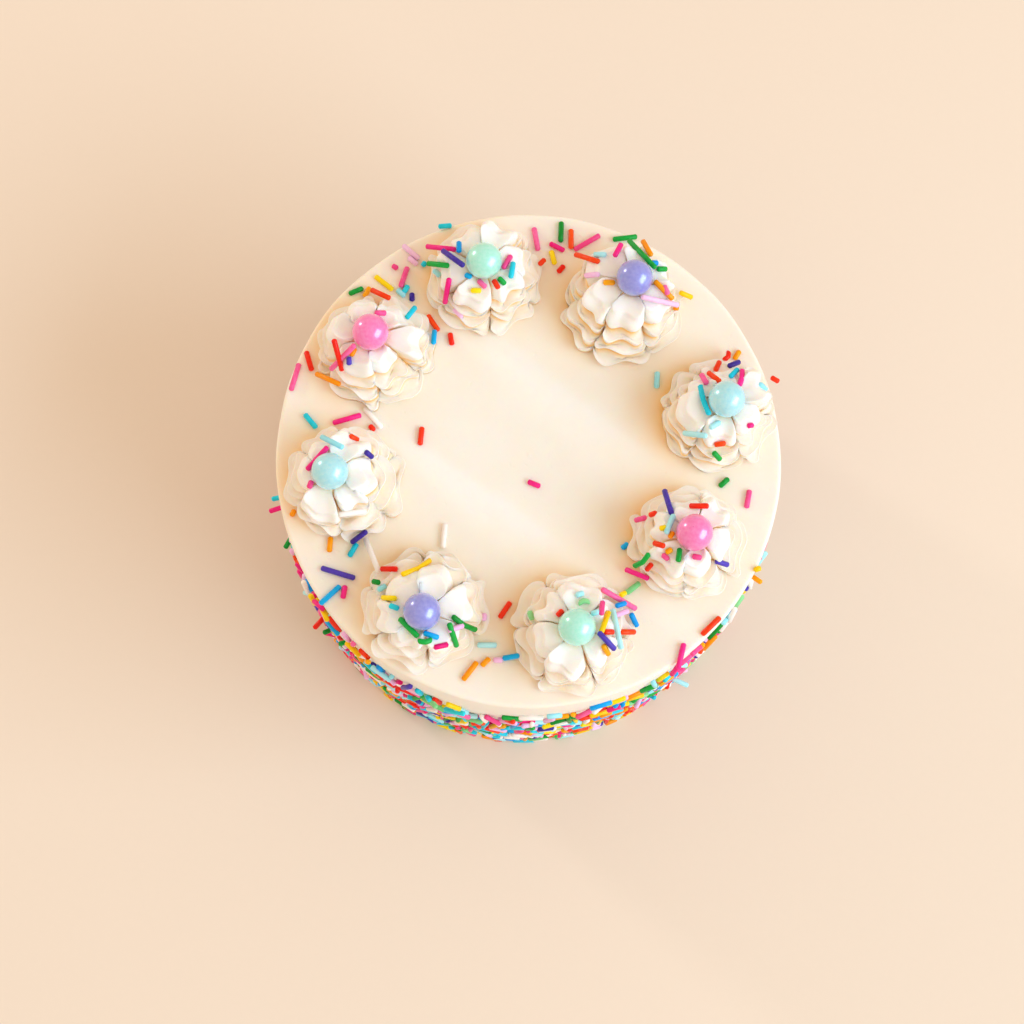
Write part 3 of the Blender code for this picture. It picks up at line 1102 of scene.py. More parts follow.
    def surface(self, turn: float, row: Row) -> Vector:
        """Return a point of the surface.

        Args:
            turn: how far round the rosette it is, counted in lobes.
            row: its row up the lobe.

        Returns:
            The point in the frame's place.
        """
        lobe = int(turn) % self.lobes
        share = turn - int(turn)
        sign = -1.0 if share < 0.5 else 1.0
        side = 1.0 - abs(2.0 * share - 1.0)
        first = self.start + lobe * math.tau / self.lobes + self.lobe_shift[lobe]
        after = (lobe + 1) % self.lobes
        last = self.start + (lobe + 1) * math.tau / self.lobes + self.lobe_shift[after]
        level = self.level(row)
        tier = row.tier
        reach = row.reach * (1.0 + (self.spread - 1.0) * row.loose)
        steps_in = min(max((self.radius * self.flat_share - row.reach) / self.tier_step, 0.0), self.tiers - 1)
        reach += steps_in * self.tier_step * (1.0 - self.step_share[lobe]) * row.loose
        reach += (self.tier_reach[lobe][tier] - row.deep * self.undercut * (self.bite[lobe][tier] - 1.0)) \
            * row.loose
        width = min(reach * self.width_slope + self.width_start, reach * self.neck_slope - self.neck_start)
        width *= 1.0 + (self.tier_width[lobe][tier] - 1.0) * row.loose
        width = min(width, 2.0 * reach * math.tan(math.pi / self.lobes) * self.side_gap)
        corner = self.corner * self.corner_size[lobe][tier] * reach / self.radius
        corner = min(corner, width * self.corner_limit)
        groove = self.groove_base_radius + (self.groove_top_radius - self.groove_base_radius) * level
        groove = min(groove, reach * self.groove_limit)
        along, across, wall = self.plan(side, reach, width, corner, groove)
        across *= sign
        spot = 2.0 * across / max(width, MERGE_DISTANCE)
        along += self.tier_wave[lobe][tier] * math.sin(self.ruffle(lobe, tier, spot)) * row.loose * wall
        across += self.tier_slide[lobe][tier] * row.loose * wall ** 2
        groove_height = self.groove_top_height * level if row.height > 0.0 else row.height
        height = row.height + self.rise(lobe, row, spot)
        climb = 1.0 - (1.0 - wall) ** self.climb_power
        height = groove_height + (height - groove_height) * climb
        stretch = (last - first) * self.lobes / math.tau
        angle = (first + last) / 2 + math.atan2(across, along) * stretch
        angle += self.tier_turn[lobe][tier] * wall * row.loose
        out = math.hypot(along, across)
        ring = bump_between(row.reach, *self.round_start)
        even = (first + last) / 2 + (share - 0.5) * (last - first)
        angle = even + (angle - even) * ring
        out = row.reach + (out - row.reach) * ring
        height = row.height + (height - row.height) * ring
        angle += self.hand * self.twist * level
        point = Vector((out * math.cos(angle), out * math.sin(angle), height))
        wobble = noise.noise_vector(point * self.wobble_scale + Vector((self.index * 3.0, 0.0, 0.0)))
        point += wobble * self.wobble * row.loose * (1.0 if row.height > 0.0 else 0.0)
        leant = self.lean * (1.0 if row.height > 0.0 and row.loose == 0.0 else level ** 1.5)
        return self.middle + leant + point + Vector((0.0, 0.0, self.foot_height))

    def level(self, row: Row) -> float:
        """Return how far up the rosette a row is, from 0 at the foot to 1 at the crown."""
        return min(max(row.height, 0.0) / self.crown_height, 1.0)

    def ruffle(self, lobe: int, tier: int, spot: float) -> float:
        """Return the angle of a tier's ruffle, at a spot from -1 to 1 across its lobe."""
        return spot * math.pi * self.ruffles + self.tier_phase[lobe][tier]

    def painted_shade_share(self, turn: float, row: Row) -> float:
        """Find how much painted shade a point takes: most in crevices, grooves and under the pearl, with a
        little more low down the rosette.

        Args:
            turn: how far round the rosette it is, counted in lobes.
            row: its row up the lobe.

        Returns:
            A share from 0 on a lip to 1 in a crevice or a groove.
        """
        side = 1.0 - abs(2.0 * (turn - int(turn)) - 1.0)
        columns = self.wall_columns + self.corner_columns + self.flat_columns
        wall = min(side * columns / self.wall_columns, 1.0)
        deepest = max(row.shade_amount, 1.0 - wall)
        # Painted shade lower down the rosette.
        low = self.painted_low_shade * (1.0 - self.level(row))
        return max(self.painted_shade_spread * deepest, deepest ** self.painted_shade_power, low)

    def rise(self, lobe: int, row: Row, spot: float) -> float:
        """Find how far a tier's own tilt and curl lift a point.

        Args:
            lobe: the number of the lobe.
            row: the point's row.
            spot: how far across the lobe it is, from -1 to 1.

        Returns:
            The lift in metres.
        """
        if row.height <= 0.0:
            return 0.0
        lift = self.tier_tilt[lobe][row.tier] * spot * row.loose * bump_between(row.height, 0.0, 0.002)
        curl = self.tier_curl[lobe][row.tier] * math.cos(self.ruffle(lobe, row.tier, spot))
        lift += curl * row.loose * (1.0 - row.deep) * bump_between(row.reach, *self.curl_start)
        if row.tier == self.tiers - 1:
            top = bump_between(row.height, *self.tongue_start) * row.loose
            lift += (self.tongue_lift[lobe] + self.rim_lift[lobe] * abs(spot) ** 3
                     - self.dish[lobe] * (1.0 - spot * spot)) * top
        return lift

    def shape(self) -> bmesh.types.BMesh:
        """Wrap a grid round the rosette, with its seam and poles merged.

        Returns:
            A closed mesh, whose points hold their share of painted shade.
        """
        rows = self.rows()
        columns = 2 * (self.wall_columns + self.corner_columns + self.flat_columns)
        bm = bmesh.new()
        turns = self.lobes * columns
        painted_shade_tint = bm.verts.layers.float.new(SHADE_ATTRIBUTE)
        bmesh.ops.create_grid(bm, x_segments=turns, y_segments=len(rows) - 1, size=0.5)
        for vert in bm.verts:
            turn = round((vert.co.x + 0.5) * turns) / columns % self.lobes
            row = rows[round((vert.co.y + 0.5) * (len(rows) - 1))]
            vert.co = self.surface(turn, row)
            vert[painted_shade_tint] = self.painted_shade_share(turn, row)
        bmesh.ops.remove_doubles(bm, verts=bm.verts, dist=MERGE_DISTANCE * 5)
        bmesh.ops.recalc_face_normals(bm, faces=bm.faces)
        return bm


def smooth_path(points: list[tuple[float, float]], spot: float) -> tuple[float, float]:
    """Follow a smooth path through points.

    Args:
        points: the points, each as a reach and a height.
        spot: how far along the path, counted in points.

    Returns:
        The reach and height there.
    """
    last = len(points) - 1
    first = min(int(spot), last - 1)
    share = spot - first
    before = points[max(first - 1, 0)]
    start, end = points[first], points[first + 1]
    beyond = points[min(first + 2, last)]
    place = []
    for a, b, c, d in zip(before, start, end, beyond):
        cubic = 2 * b + (c - a) * share + (2 * a - 5 * b + 4 * c - d) * share ** 2
        cubic += (3 * b - a - 3 * c + d) * share ** 3
        place.append(cubic / 2)
    return place[0], place[1]


@dataclass
class Pearl:
    """A pearl-coated sugar ball, a little out of round as they are."""

    node: str
    unevenness: float = 0.012
    dip_scale: float = 160.0
    dip_apart: float = 900.0
    segments: int = 48
    rings: int = 32

    def shape(self) -> bmesh.types.BMesh:
        """Build the ball in its solid's place.

        Returns:
            A closed mesh.
        """
        low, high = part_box(self.node)
        middle = (low + high) / 2
        radius = (high.z - low.z) / 2
        bm = bmesh.new()
        bmesh.ops.create_uvsphere(bm, u_segments=self.segments, v_segments=self.rings, radius=radius)
        for vert in bm.verts:
            dip = abs(noise.noise(vert.co * self.dip_scale + middle * self.dip_apart))
            vert.co = middle + vert.co * (1.0 - self.unevenness * dip)
        return bm


# Sprinkles


class Kind(Enum):
    """The colours of sprinkle, each with its pale and its deep tone."""

    HOT_PINK = (srgb(250, 44, 150), srgb(238, 8, 124))
    PINK = (srgb(252, 112, 176), srgb(244, 72, 148))
    LIGHT_PINK = (srgb(252, 212, 250), srgb(246, 190, 240))
    RED = (srgb(252, 58, 22), srgb(240, 28, 6))
    ORANGE_RED = (srgb(254, 88, 22), srgb(244, 56, 0))
    ORANGE = (srgb(255, 178, 4), srgb(253, 150, 0))
    YELLOW = (srgb(255, 230, 16), srgb(255, 210, 0))
    GREEN = (srgb(16, 176, 70), srgb(0, 142, 44))
    LIGHT_GREEN = (srgb(148, 226, 158), srgb(110, 210, 128))
    BLUE = (srgb(0, 182, 252), srgb(0, 156, 244))
    AQUA = (srgb(44, 224, 246), srgb(10, 202, 234))
    LIGHT_AQUA = (srgb(186, 246, 255), srgb(156, 236, 255))
    PURPLE = (srgb(86, 66, 192), srgb(56, 38, 152))
    WHITE = (srgb(255, 253, 252), srgb(252, 247, 242))

    @property
    def piece_name(self) -> str:
        """Return the name of the piece that holds this colour's sprinkles."""
        return "sprinkles_" + self.name.lower()


SIDE_MIX = {
    Kind.HOT_PINK: 9, Kind.PINK: 9, Kind.LIGHT_PINK: 9, Kind.RED: 7, Kind.ORANGE_RED: 7,
    Kind.ORANGE: 8, Kind.YELLOW: 9, Kind.GREEN: 8, Kind.LIGHT_GREEN: 4, Kind.BLUE: 8,
    Kind.AQUA: 7, Kind.LIGHT_AQUA: 8, Kind.PURPLE: 5, Kind.WHITE: 14,
}


class Laid(NamedTuple):
    """A sprinkle on the cake's top, as the photograph shows it.

    Its middle is in pixels, its heading in degrees anticlockwise from the picture's right, and
    its length in pixels. A bend is how far its middle bows out, as a share of its length.
    """

    x: float
    y: float
    heading: float
    length: float
    bend: float = 0.0


TOP_SPRINKLES: dict[Kind, tuple[Laid, ...]] = {
    Kind.HOT_PINK: (
        Laid(441, 248, -6, 30), Laid(447, 291, 80, 26), Laid(347, 419, 16, 30), Laid(319, 460, 48, 32),
        Laid(557, 247, -27, 17), Laid(618, 250, 62, 15), Laid(741, 378, 80, 17, 0.06),
        Laid(534, 484, -22, 14), Laid(637, 574, -22, 26), Laid(681, 656, 77, 27),
        Laid(344, 592, 80, 14), Laid(441, 646, 12, 15), Laid(750.5, 425.5, 10, 6),
    ),
    Kind.PINK: (
        Laid(404, 277, 71, 22), Laid(395, 267, -30, 7), Laid(507, 262, 58, 16), Laid(380.5, 313, 0, 12),
        Laid(343, 357, 46, 35), Laid(295, 377, 73, 29), Laid(536, 239, -80, 24), Laid(587, 242.5, 30, 30),
        Laid(666, 290, -65, 11), Laid(704, 379, -60, 12), Laid(748, 499, 80, 19), Laid(640.5, 519, 15, 12),
        Laid(665.5, 557, -40, 9), Laid(697, 557, -10, 10), Laid(619, 599, -30, 40), Laid(602, 608, 85, 14),
        Laid(311.5, 484, 70, 9), Laid(483, 281, -45, 11),
    ),
    Kind.LIGHT_PINK: (
        Laid(411, 252, -40, 22), Laid(413, 261, -40, 12), Laid(458, 313, -46, 13), Laid(592, 275, 5, 15),
        Laid(660, 301, -13, 38), Laid(498, 660, 0, 10), Laid(484, 617, 85, 8), Laid(456, 628, 20, 16),
        Laid(622, 613, 20, 14),
    ),
    Kind.RED: (
        Laid(496, 284, -60, 11), Laid(451, 339, -80, 13), Laid(338, 355, -75, 33), Laid(309, 361, -74, 21),
        Laid(372, 428, -50, 8), Laid(421, 436, 84, 19), Laid(561, 269, 48, 10), Laid(775, 379.5, -30, 10),
        Laid(699, 506, 0, 20), Laid(653, 514, 20, 8), Laid(649, 567, 50, 9), Laid(609, 632, 0, 10),
        Laid(560, 613, 45, 9), Laid(389, 569, 0, 17), Laid(505, 610, 56, 20), Laid(727, 356, 60, 10, 0.2),
    ),
    Kind.ORANGE_RED: (
        Laid(380.5, 294, -25, 21), Laid(433, 323, -56, 20), Laid(354, 438, -27, 10), Laid(571, 239, 90, 20),
        Laid(587, 258, -17, 26), Laid(542, 262, 45, 8), Laid(717.5, 366, 65, 11), Laid(714, 377, -38, 16),
        Laid(720, 444, 8, 12), Laid(659, 544.5, -17, 12), Laid(628, 632, 0, 15), Laid(711, 626, 44, 26),
    ),
    Kind.ORANGE: (
        Laid(367, 292, 60, 12), Laid(610, 282.5, 0, 12), Laid(647, 248, -60, 18), Laid(662, 290, -45, 27),
        Laid(676, 308, 0, 6), Laid(737, 355, 58, 11), Laid(673, 535, 60, 8),
        Laid(669, 551, 30, 8), Laid(606, 650, -60, 12), Laid(293, 513, 60, 8), Laid(330, 544.5, 85, 16),
        Laid(470, 671, 52, 24), Laid(485.5, 662, 45, 12), Laid(328, 379, -24, 27),
        Laid(353, 352, 60, 10),
    ),
    Kind.YELLOW: (
        Laid(384, 283, -38, 23), Laid(476, 290.5, 0, 11), Laid(553, 257.5, -75, 15), Laid(663, 528, 10, 8),
        Laid(757.5, 569, 20, 8), Laid(605, 622, 70, 23), Laid(417, 568, 27, 33, 0.07), Laid(389, 598, -3, 15),
        Laid(686, 295, -23, 14), Laid(623, 594, 30, 7),
    ),
    Kind.GREEN: (
        Laid(438, 264.5, -6, 22), Laid(561, 232, 88, 21), Laid(625, 238, 7, 25), Laid(642, 254, -46, 39),
        Laid(662, 269, 0, 10), Laid(717, 456, -48, 11), Laid(642, 561, 40, 20, 0.1), Laid(502, 281, -45, 10),
        Laid(410, 626, -45, 27), Laid(425, 641, 5, 15, 0.15), Laid(453, 635, -72, 25), Laid(356, 291, 22, 16),
        Laid(679, 555, 83, 14), Laid(464, 624, -30, 28, 0.06), Laid(376, 582, -10, 8),
        Laid(724, 482.5, 42, 13),
    ),
    Kind.LIGHT_GREEN: (
        Laid(633, 588, 38, 18), Laid(531, 615.5, -70, 10),
        Laid(584, 602, 10, 12, -0.25),
    ),
    Kind.BLUE: (
        Laid(459, 247, 90, 11), Laid(654.5, 263, 0, 8), Laid(625, 546, 40, 9), Laid(621, 604.5, 17, 11),
        Laid(634, 620, -65, 15), Laid(330, 595, 42, 28), Laid(511, 657, 10, 17), Laid(431, 632.5, -18, 17),
        Laid(434, 337, 85, 14), Laid(469, 275, -20, 8),
    ),
    Kind.AQUA: (
        Laid(445, 226, 5, 14), Laid(406, 289, 60, 9), Laid(411, 312.5, 51, 15), Laid(512, 270, 80, 17),
        Laid(310.5, 421, -50, 19), Laid(734, 373, 45, 12), Laid(704, 400, -73, 32, 0.05),
        Laid(353, 550, 60, 16), Laid(394, 607, -20, 11), Laid(424, 264, 60, 6),
    ),
    Kind.LIGHT_AQUA: (
        Laid(437, 273, -40, 10), Laid(332, 442, -27, 25), Laid(600, 254.5, 0, 13), Laid(695, 434.5, -7, 24),
        Laid(715, 425, 30, 12), Laid(763, 387, -45, 10), Laid(670, 524, 68, 21), Laid(617, 629, -78, 42),
        Laid(382, 588, 30, 10), Laid(487, 645, 0, 20), Laid(580, 594, 20, 8), Laid(657, 380, 88, 17),
        Laid(401, 293, -40, 11), Laid(595, 613, 20, 8),
    ),
    Kind.PURPLE: (
        Laid(453, 258, -36, 27), Laid(412, 297, 90, 9), Laid(349, 361, 90, 9), Laid(369, 454.5, -40, 10),
        Laid(734, 364, 22, 13), Laid(668, 502, -73, 26), Laid(722, 563, -18, 14), Laid(604.5, 640.5, -47, 25),
        Laid(359, 537, 37, 20), Laid(338, 573, -17, 36),
    ),
    Kind.WHITE: (
        Laid(373, 418, -49, 27), Laid(372, 555, -68, 37), Laid(352.5, 513, 8, 28), Laid(444, 536, 85, 25),
    ),
}


class Rod(NamedTuple):
    """A sprinkle in place: its middle, its direction, a direction across it, and its form."""

    middle: Vector
    along: Vector
    across: Vector
    length: float
    bend: float
    tone: float


@dataclass
class SprinkleMould:
    """The form that every sprinkle shares: a short rod of sugar with blunt round ends."""

    radius: float = ROD_RADIUS
    cap: float = 0.75
    sides: int = 8
    belt: float = math.radians(18.0)

    def template(self) -> tuple[np.ndarray, np.ndarray, list[list[int]]]:
        """Make one rod of unit size, with a ring halfway that lets it bend.

        Returns:
            Its points about its middle, the end of the rod that each goes with (-1 or 1, and 0
            for the ring halfway), and its faces.
        """
        bm = bmesh.new()
        bmesh.ops.create_uvsphere(bm, u_segments=self.sides, v_segments=5, radius=1.0)
        bmesh.ops.bisect_plane(bm, geom=bm.verts[:] + bm.edges[:] + bm.faces[:],
                               plane_co=(0.0, 0.0, 0.0), plane_no=UP)
        bm.verts.index_update()
        body, widen = math.sin(self.belt), 1.0 / math.cos(self.belt)
        points, ends = [], []
        for vert in bm.verts:
            halfway = abs(vert.co.z) < body / 2
            ends.append(0.0 if halfway else math.copysign(1.0, vert.co.z))
            cap = ends[-1] * (abs(vert.co.z) - body) * self.cap
            points.append((vert.co.x * widen, vert.co.y * widen, cap))
        faces = [[vert.index for vert in face.verts] for face in bm.faces]
        bm.free()
        return np.array(points), np.array(ends), faces

    def build(self, kind: Kind, rods: list[Rod]) -> bpy.types.Mesh:
        """Join all the rods of a colour in one mesh, with each rod's tone on its points.

        Args:
            kind: the colour.
            rods: its rods in place.

        Returns:
            The mesh.
        """
        points, ends, faces = self.template()
        middles = np.array([rod.middle for rod in rods])[:, None, :]
        along = np.array([rod.along for rod in rods])[:, None, :]
        across = np.array([rod.across for rod in rods])[:, None, :]
        other = np.cross(along, across)
        lengths = np.array([rod.length for rod in rods])[:, None, None]
        bends = np.array([rod.bend for rod in rods])[:, None, None]
        end_size = self.cap * (1.0 - math.sin(self.belt)) * self.radius
        run = ends[None, :, None] * (lengths / 2 - end_size) + points[None, :, 2:3] * self.radius
        bow = bends * lengths * (0.5 - (2.0 * run / lengths) ** 2)
        places = middles + along * run + across * (points[None, :, 0:1] * self.radius + bow)
        places = places + other * points[None, :, 1:2] * self.radius
        count = len(ends)
        joined = []
        for first in range(0, len(rods) * count, count):
            joined += [[first + corner for corner in face] for face in faces]
        mesh = bpy.data.meshes.new(kind.piece_name)
        mesh.from_pydata(places.reshape(-1, 3).tolist(), [], joined)
        tones = mesh.attributes.new(TONE, "FLOAT", "POINT")
        tones.data.foreach_set("value", np.repeat([rod.tone for rod in rods], count).astype(np.float32))
        return mesh


class Standing(NamedTuple):
    """A sprinkle that stands out of the side: where its foot is, how it leans and how long it is."""

    kind: Kind
    azimuth: float
    height: float
    out: float
    heading: float
    length: float


STANDING_SPRINKLES = (
    Standing(Kind.HOT_PINK, -173.0, 0.084, 78.0, 10.0, 0.0070),
    Standing(Kind.AQUA, -175.6, 0.082, 66.0, 60.0, 0.0062),
    Standing(Kind.RED, -145.5, 0.080, 72.0, 30.0, 0.0074),
    Standing(Kind.LIGHT_AQUA, -52.0, 0.050, 60.0, -20.0, 0.0088),
    Standing(Kind.GREEN, -142.0, 0.073, 50.0, 100.0, 0.0070),
    Standing(Kind.ORANGE, -24.0, 0.086, 58.0, 120.0, 0.0066),
    Standing(Kind.YELLOW, 38.0, 0.078, 34.0, 40.0, 0.0072),
    Standing(Kind.PINK, 112.0, 0.070, 24.0, 150.0, 0.0074),
    Standing(Kind.BLUE, 160.0, 0.088, 28.0, 20.0, 0.0068),
    Standing(Kind.WHITE, -98.0, 0.066, 19.0, 70.0, 0.0080),
)


@dataclass
class SideSprinkles:
    """The sprinkles pressed on the lower side, piled up to two deep under a ragged line."""

    radius: float = CAKE_RADIUS
    rod_radius: float = ROD_RADIUS
    count: int = 5200
    line_height: float = 0.0880
    line_wave: float = 0.0090
    line_waves_round: int = 4
    line_lean: float = 0.0050
    line_peak_angle: float = math.radians(-45.0)
    line_strays: float = 1.12
    thin_share: float = 0.93
    thin_start: float = 0.62
    thin_end: float = 1.10
    shortest: float = 0.0035
    usual: float = 0.0062
    longest: float = 0.0092
    bow: float = 0.05
    foot: float = 0.0011
    foot_share: float = 0.9
    cell: float = 0.0008
    pile_top: float = 0.125
    pile_rise: float = 1.3
    deepest: float = 0.0015
    sunk_share: float = 0.30
    loose: int = 150
    loose_out: tuple[float, float] = (12.0, 40.0)
    loose_length: tuple[float, float] = (0.0052, 0.0080)
    seed: int = 31

    def line(self, azimuth: float) -> float:
        """Find the height up to which sprinkles cover the side.

        Args:
            azimuth: the direction from the cake's axis.

        Returns:
            The height there.
        """
        turn = azimuth - self.line_peak_angle
        wave = self.line_wave * math.cos(self.line_waves_round * turn)
        return self.line_height + wave + self.line_lean * math.cos(turn)

    def draw_height(self, draw: random.Random, azimuth: float) -> float:
        """Draw a height for a sprinkle: thick low down, and thinning out towards the line.

        Args:
            draw: the source of chance.
            azimuth: the sprinkle's direction from the cake's axis.

        Returns:
            The height of its middle.
        """
        line = self.line(azimuth)
        while True:
            height = draw.uniform(self.foot, line * self.line_strays)
            thin = bump_between(height, line * self.thin_start, line * self.thin_end)
            keep = 1.0 - self.thin_share * thin
            if draw.random() < keep:
                return height

    def build(self) -> list[tuple[Kind, Rod]]:
        """Lay every sprinkle of the side, each on those laid before it.

        Returns:
            The sprinkles, each with its colour.
        """
        draw = random.Random(self.seed)
        kinds, weights = list(SIDE_MIX), list(SIDE_MIX.values())
        turns = int(math.tau * self.radius / self.cell)
        piled = np.zeros((turns, int(self.pile_top / self.cell)))
        laid = []
        for _ in range(self.count):
            azimuth = draw.uniform(-math.pi, math.pi)
            height = self.draw_height(draw, azimuth)
            length = draw.triangular(self.shortest, self.longest, self.usual)
            heading = draw.uniform(-math.pi / 2, math.pi / 2)
            room = (height - self.rod_radius * self.foot_share) / (length / 2)
            if room < 1.0:
                heading = math.asin(max(room, 0.0)) * draw.uniform(-1.0, 1.0)
            kind = draw.choices(kinds, weights)[0]
            tone = draw.random()
            bend = draw.uniform(-self.bow, self.bow)
            rod = self.rest(piled, azimuth, height, length, heading, bend, tone)
            if rod is not None:
                laid.append((kind, rod))
        laid += [(standing.kind, self.stand(standing, draw.random())) for standing in STANDING_SPRINKLES]
        return laid + self.spread_loose(draw)

    def spread_loose(self, draw: random.Random) -> list[tuple[Kind, Rod]]:
        """Draw sprinkles that stick out of the side here and there, within the solid cake's box.

        Args:
            draw: the source of chance.

        Returns:
            The sprinkles, each with its colour.
        """
        low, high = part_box("cake")
        room = self.rod_radius
        kinds, weights = list(SIDE_MIX), list(SIDE_MIX.values())
        found = []
        while len(found) < self.loose:
            azimuth = draw.uniform(-180.0, 180.0)
            height = draw.uniform(self.longest, self.line(math.radians(azimuth)))
            kind = draw.choices(kinds, weights)[0]
            standing = Standing(kind, azimuth, height, draw.uniform(*self.loose_out),
                                draw.uniform(-180.0, 180.0), draw.uniform(*self.loose_length))
            rod = self.stand(standing, draw.random())
            tip = rod.middle + rod.along * rod.length / 2
            if all(low[axis] + room < tip[axis] < high[axis] - room for axis in range(3)):
                found.append((kind, rod))
        return found

    def stand(self, standing: Standing, tone: float) -> Rod:
        """Stand a sprinkle on the side, with its foot in the icing.

        Args:
            standing: where and how it stands.
            tone: its tone.

        Returns:
            The sprinkle in place.
        """
        azimuth, out = math.radians(standing.azimuth), math.radians(standing.out)
        heading = math.radians(standing.heading)
        outward = Vector((math.cos(azimuth), math.sin(azimuth), 0.0))
        sideways = Vector((-outward.y, outward.x, 0.0))
        flat = sideways * math.cos(heading) + UP * math.sin(heading)
        along = (outward * math.sin(out) + flat * math.cos(out)).normalized()
        foot = outward * (self.radius - self.rod_radius) + UP * standing.height
        across = along.cross(UP).normalized()
        return Rod(foot + along * standing.length / 2, along, across, standing.length, 0.0, tone)

    def rest(self, piled: np.ndarray, azimuth: float, height: float, length: float, heading: float,
             bend: float, tone: float) -> Rod | None:
        """Lay one sprinkle on the pile.

        Args:
            piled: how high the sprinkles stand over each cell of the side. It is brought up to date.
            azimuth: the direction of the sprinkle's middle from the cake's axis.
            height: the height of its middle.
            length: its length.
            heading: its slope on the side, from level.
            bend: how far it bows.
            tone: its tone.

        Returns:
            The sprinkle in place, or None where the pile is too deep already.
        """
        steps = np.linspace(-0.5, 0.5, max(int(length / self.cell), 3)) * length
        cells_round = ((azimuth + math.pi) * self.radius + steps * math.cos(heading)) / self.cell
        cells_up = (height + steps * math.sin(heading)) / self.cell
        round_index = cells_round.astype(int) % piled.shape[0]
        up_index = np.clip(cells_up.astype(int), 0, piled.shape[1] - 1)
        under = piled[round_index, up_index]
        middle = len(under) // 2
        first, last = float(under[:middle + 1].max()), float(under[middle:].max())
        if max(first, last) > self.deepest:
            return None
        gap = self.rod_radius * (1.0 - 2.0 * self.sunk_share)
        ends = []
        for step, lift in ((-length / 2, first), (length / 2, last)):
            turn = azimuth + step * math.cos(heading) / self.radius
            reach = self.radius + gap + lift
            ends.append(Vector((reach * math.cos(turn), reach * math.sin(turn),
                                height + step * math.sin(heading))))
        top = np.linspace(first, last, len(under)) + self.rod_radius * self.pile_rise
        for side in (-1, 0, 1):
            spots = (round_index + side) % piled.shape[0], up_index
            piled[spots] = np.maximum(piled[spots], top)
        centre = (ends[0] + ends[1]) / 2
        along = (ends[1] - ends[0]).normalized()
        outward = Vector((centre.x, centre.y, 0.0)).normalized()
        return Rod(centre, along, along.cross(outward).normalized(), length, bend, tone)


class Carriers:
    """The surfaces that can carry a sprinkle, searched by ray."""

    def __init__(self, camera: PhotoCamera, top: float) -> None:
        """Start with no surface but the level of the top.

        Args:
            camera: the camera that the rays start from.
            top: the height of the top.
        """
        self.camera = camera
        self.top = top
        self.trees: list[BVHTree] = []

    def add(self, bm: bmesh.types.BMesh) -> None:
        """Add a surface before its bmesh is freed."""
        self.trees.append(BVHTree.FromBMesh(bm))

    def depth(self, across: float, down: float) -> tuple[float, Vector]:
        """Find the surface at a pixel. Past the edge of the top, the top's level carries on.

        Args:
            across: the pixel's place from the left.
            down: its place from the top.

        Returns:
            How far from the camera the surface is, and its normal.
        """
        ray = self.camera.ray(across, down)
        level = (self.top - self.camera.eye.z) / ray.z
        best, facing = level, UP
        for tree in self.trees:
            _, normal, _, distance = tree.ray_cast(self.camera.eye, ray)
            if distance is not None and distance < best:
                best, facing = distance, normal
        return best, facing


@dataclass
class TopSprinkles:
    """The loose sprinkles on the top and the rosettes, placed where the photograph shows them."""

    carriers: Carriers
    pearls: list[tuple[Vector, float]]
    rod_radius: float = ROD_RADIUS
    shortest_share: float = 2.3
    sunk_share: float = 0.22
    samples: int = 7
    steepest: float = math.radians(38.0)
    pearl_climb: float = 0.3
    seed: int = 47

    def settle(self, laid: Laid, tone: float) -> Rod:
        """Lay a sprinkle on what carries it.

        The rod spans the surface points that the camera sees under its two ends, and is raised
        until nothing under it stands through it.

        Args:
            laid: the sprinkle as the photograph shows it.
            tone: its tone.

        Returns:
            The rod in place.
        """
        camera = self.carriers.camera
        heading = math.radians(laid.heading)
        step_x, step_y = math.cos(heading) * laid.length, -math.sin(heading) * laid.length
        rays, depths, normal = [], [], Vector()
        for number in range(self.samples):
            share = number / (self.samples - 1) - 0.5
            spot = (laid.x + step_x * share, laid.y + step_y * share)
            depth, facing = self.carriers.depth(*spot)
            rays.append(camera.ray(*spot))
            depths.append(depth)
            normal += facing
        first, last = depths[0], depths[-1]
        most = (rays[0] - rays[-1]).length * first * math.tan(self.steepest)
        first, last = min(first, last + most), min(last, first + most)
        over = 0.0
        for number, depth in enumerate(depths):
            share = number / (self.samples - 1)
            over = max(over, first + (last - first) * share - depth)
        raise_by = over + self.rod_radius * (1.0 - 2.0 * self.sunk_share)
        start = camera.eye + rays[0] * (first - raise_by)
        end = camera.eye + rays[-1] * (last - raise_by)
        middle = (start + end) / 2
        along = (end - start).normalized()
        middle += self.clear_of_pearls(middle, along, (end - start).length)
        up = normal.normalized()
        across = along.cross(up).normalized()
        length = max((end - start).length, self.rod_radius * self.shortest_share)
        return Rod(middle, along, across, length, laid.bend, tone)

    def clear_of_pearls(self, middle: Vector, along: Vector, length: float) -> Vector:
        """Find the step that moves a rod out of any pearl that it would cut.

        Args:
            middle: the rod's middle.
            along: its direction.
            length: its length.

        Returns:
            The step, which is zero where it cuts none.
        """
        for centre, radius in self.pearls:
            reach = (centre - middle).dot(along)
            nearest = middle + along * min(max(reach, -length / 2), length / 2)
            gap = (nearest - centre).length - radius - self.rod_radius
            if gap < 0.0:
                away = nearest - centre
                away.z = max(away.z, 0.0) * self.pearl_climb
                return away.normalized() * -gap
        return Vector()

    def build(self) -> list[tuple[Kind, Rod]]:
        """Lay every loose sprinkle of the top.

        Returns:
            The sprinkles, each with its colour.
        """
        draw = random.Random(self.seed)
        placed = []
        for kind, rows in TOP_SPRINKLES.items():
            placed += [(kind, self.settle(laid, draw.random())) for laid in rows]
        return placed


# The whole cake


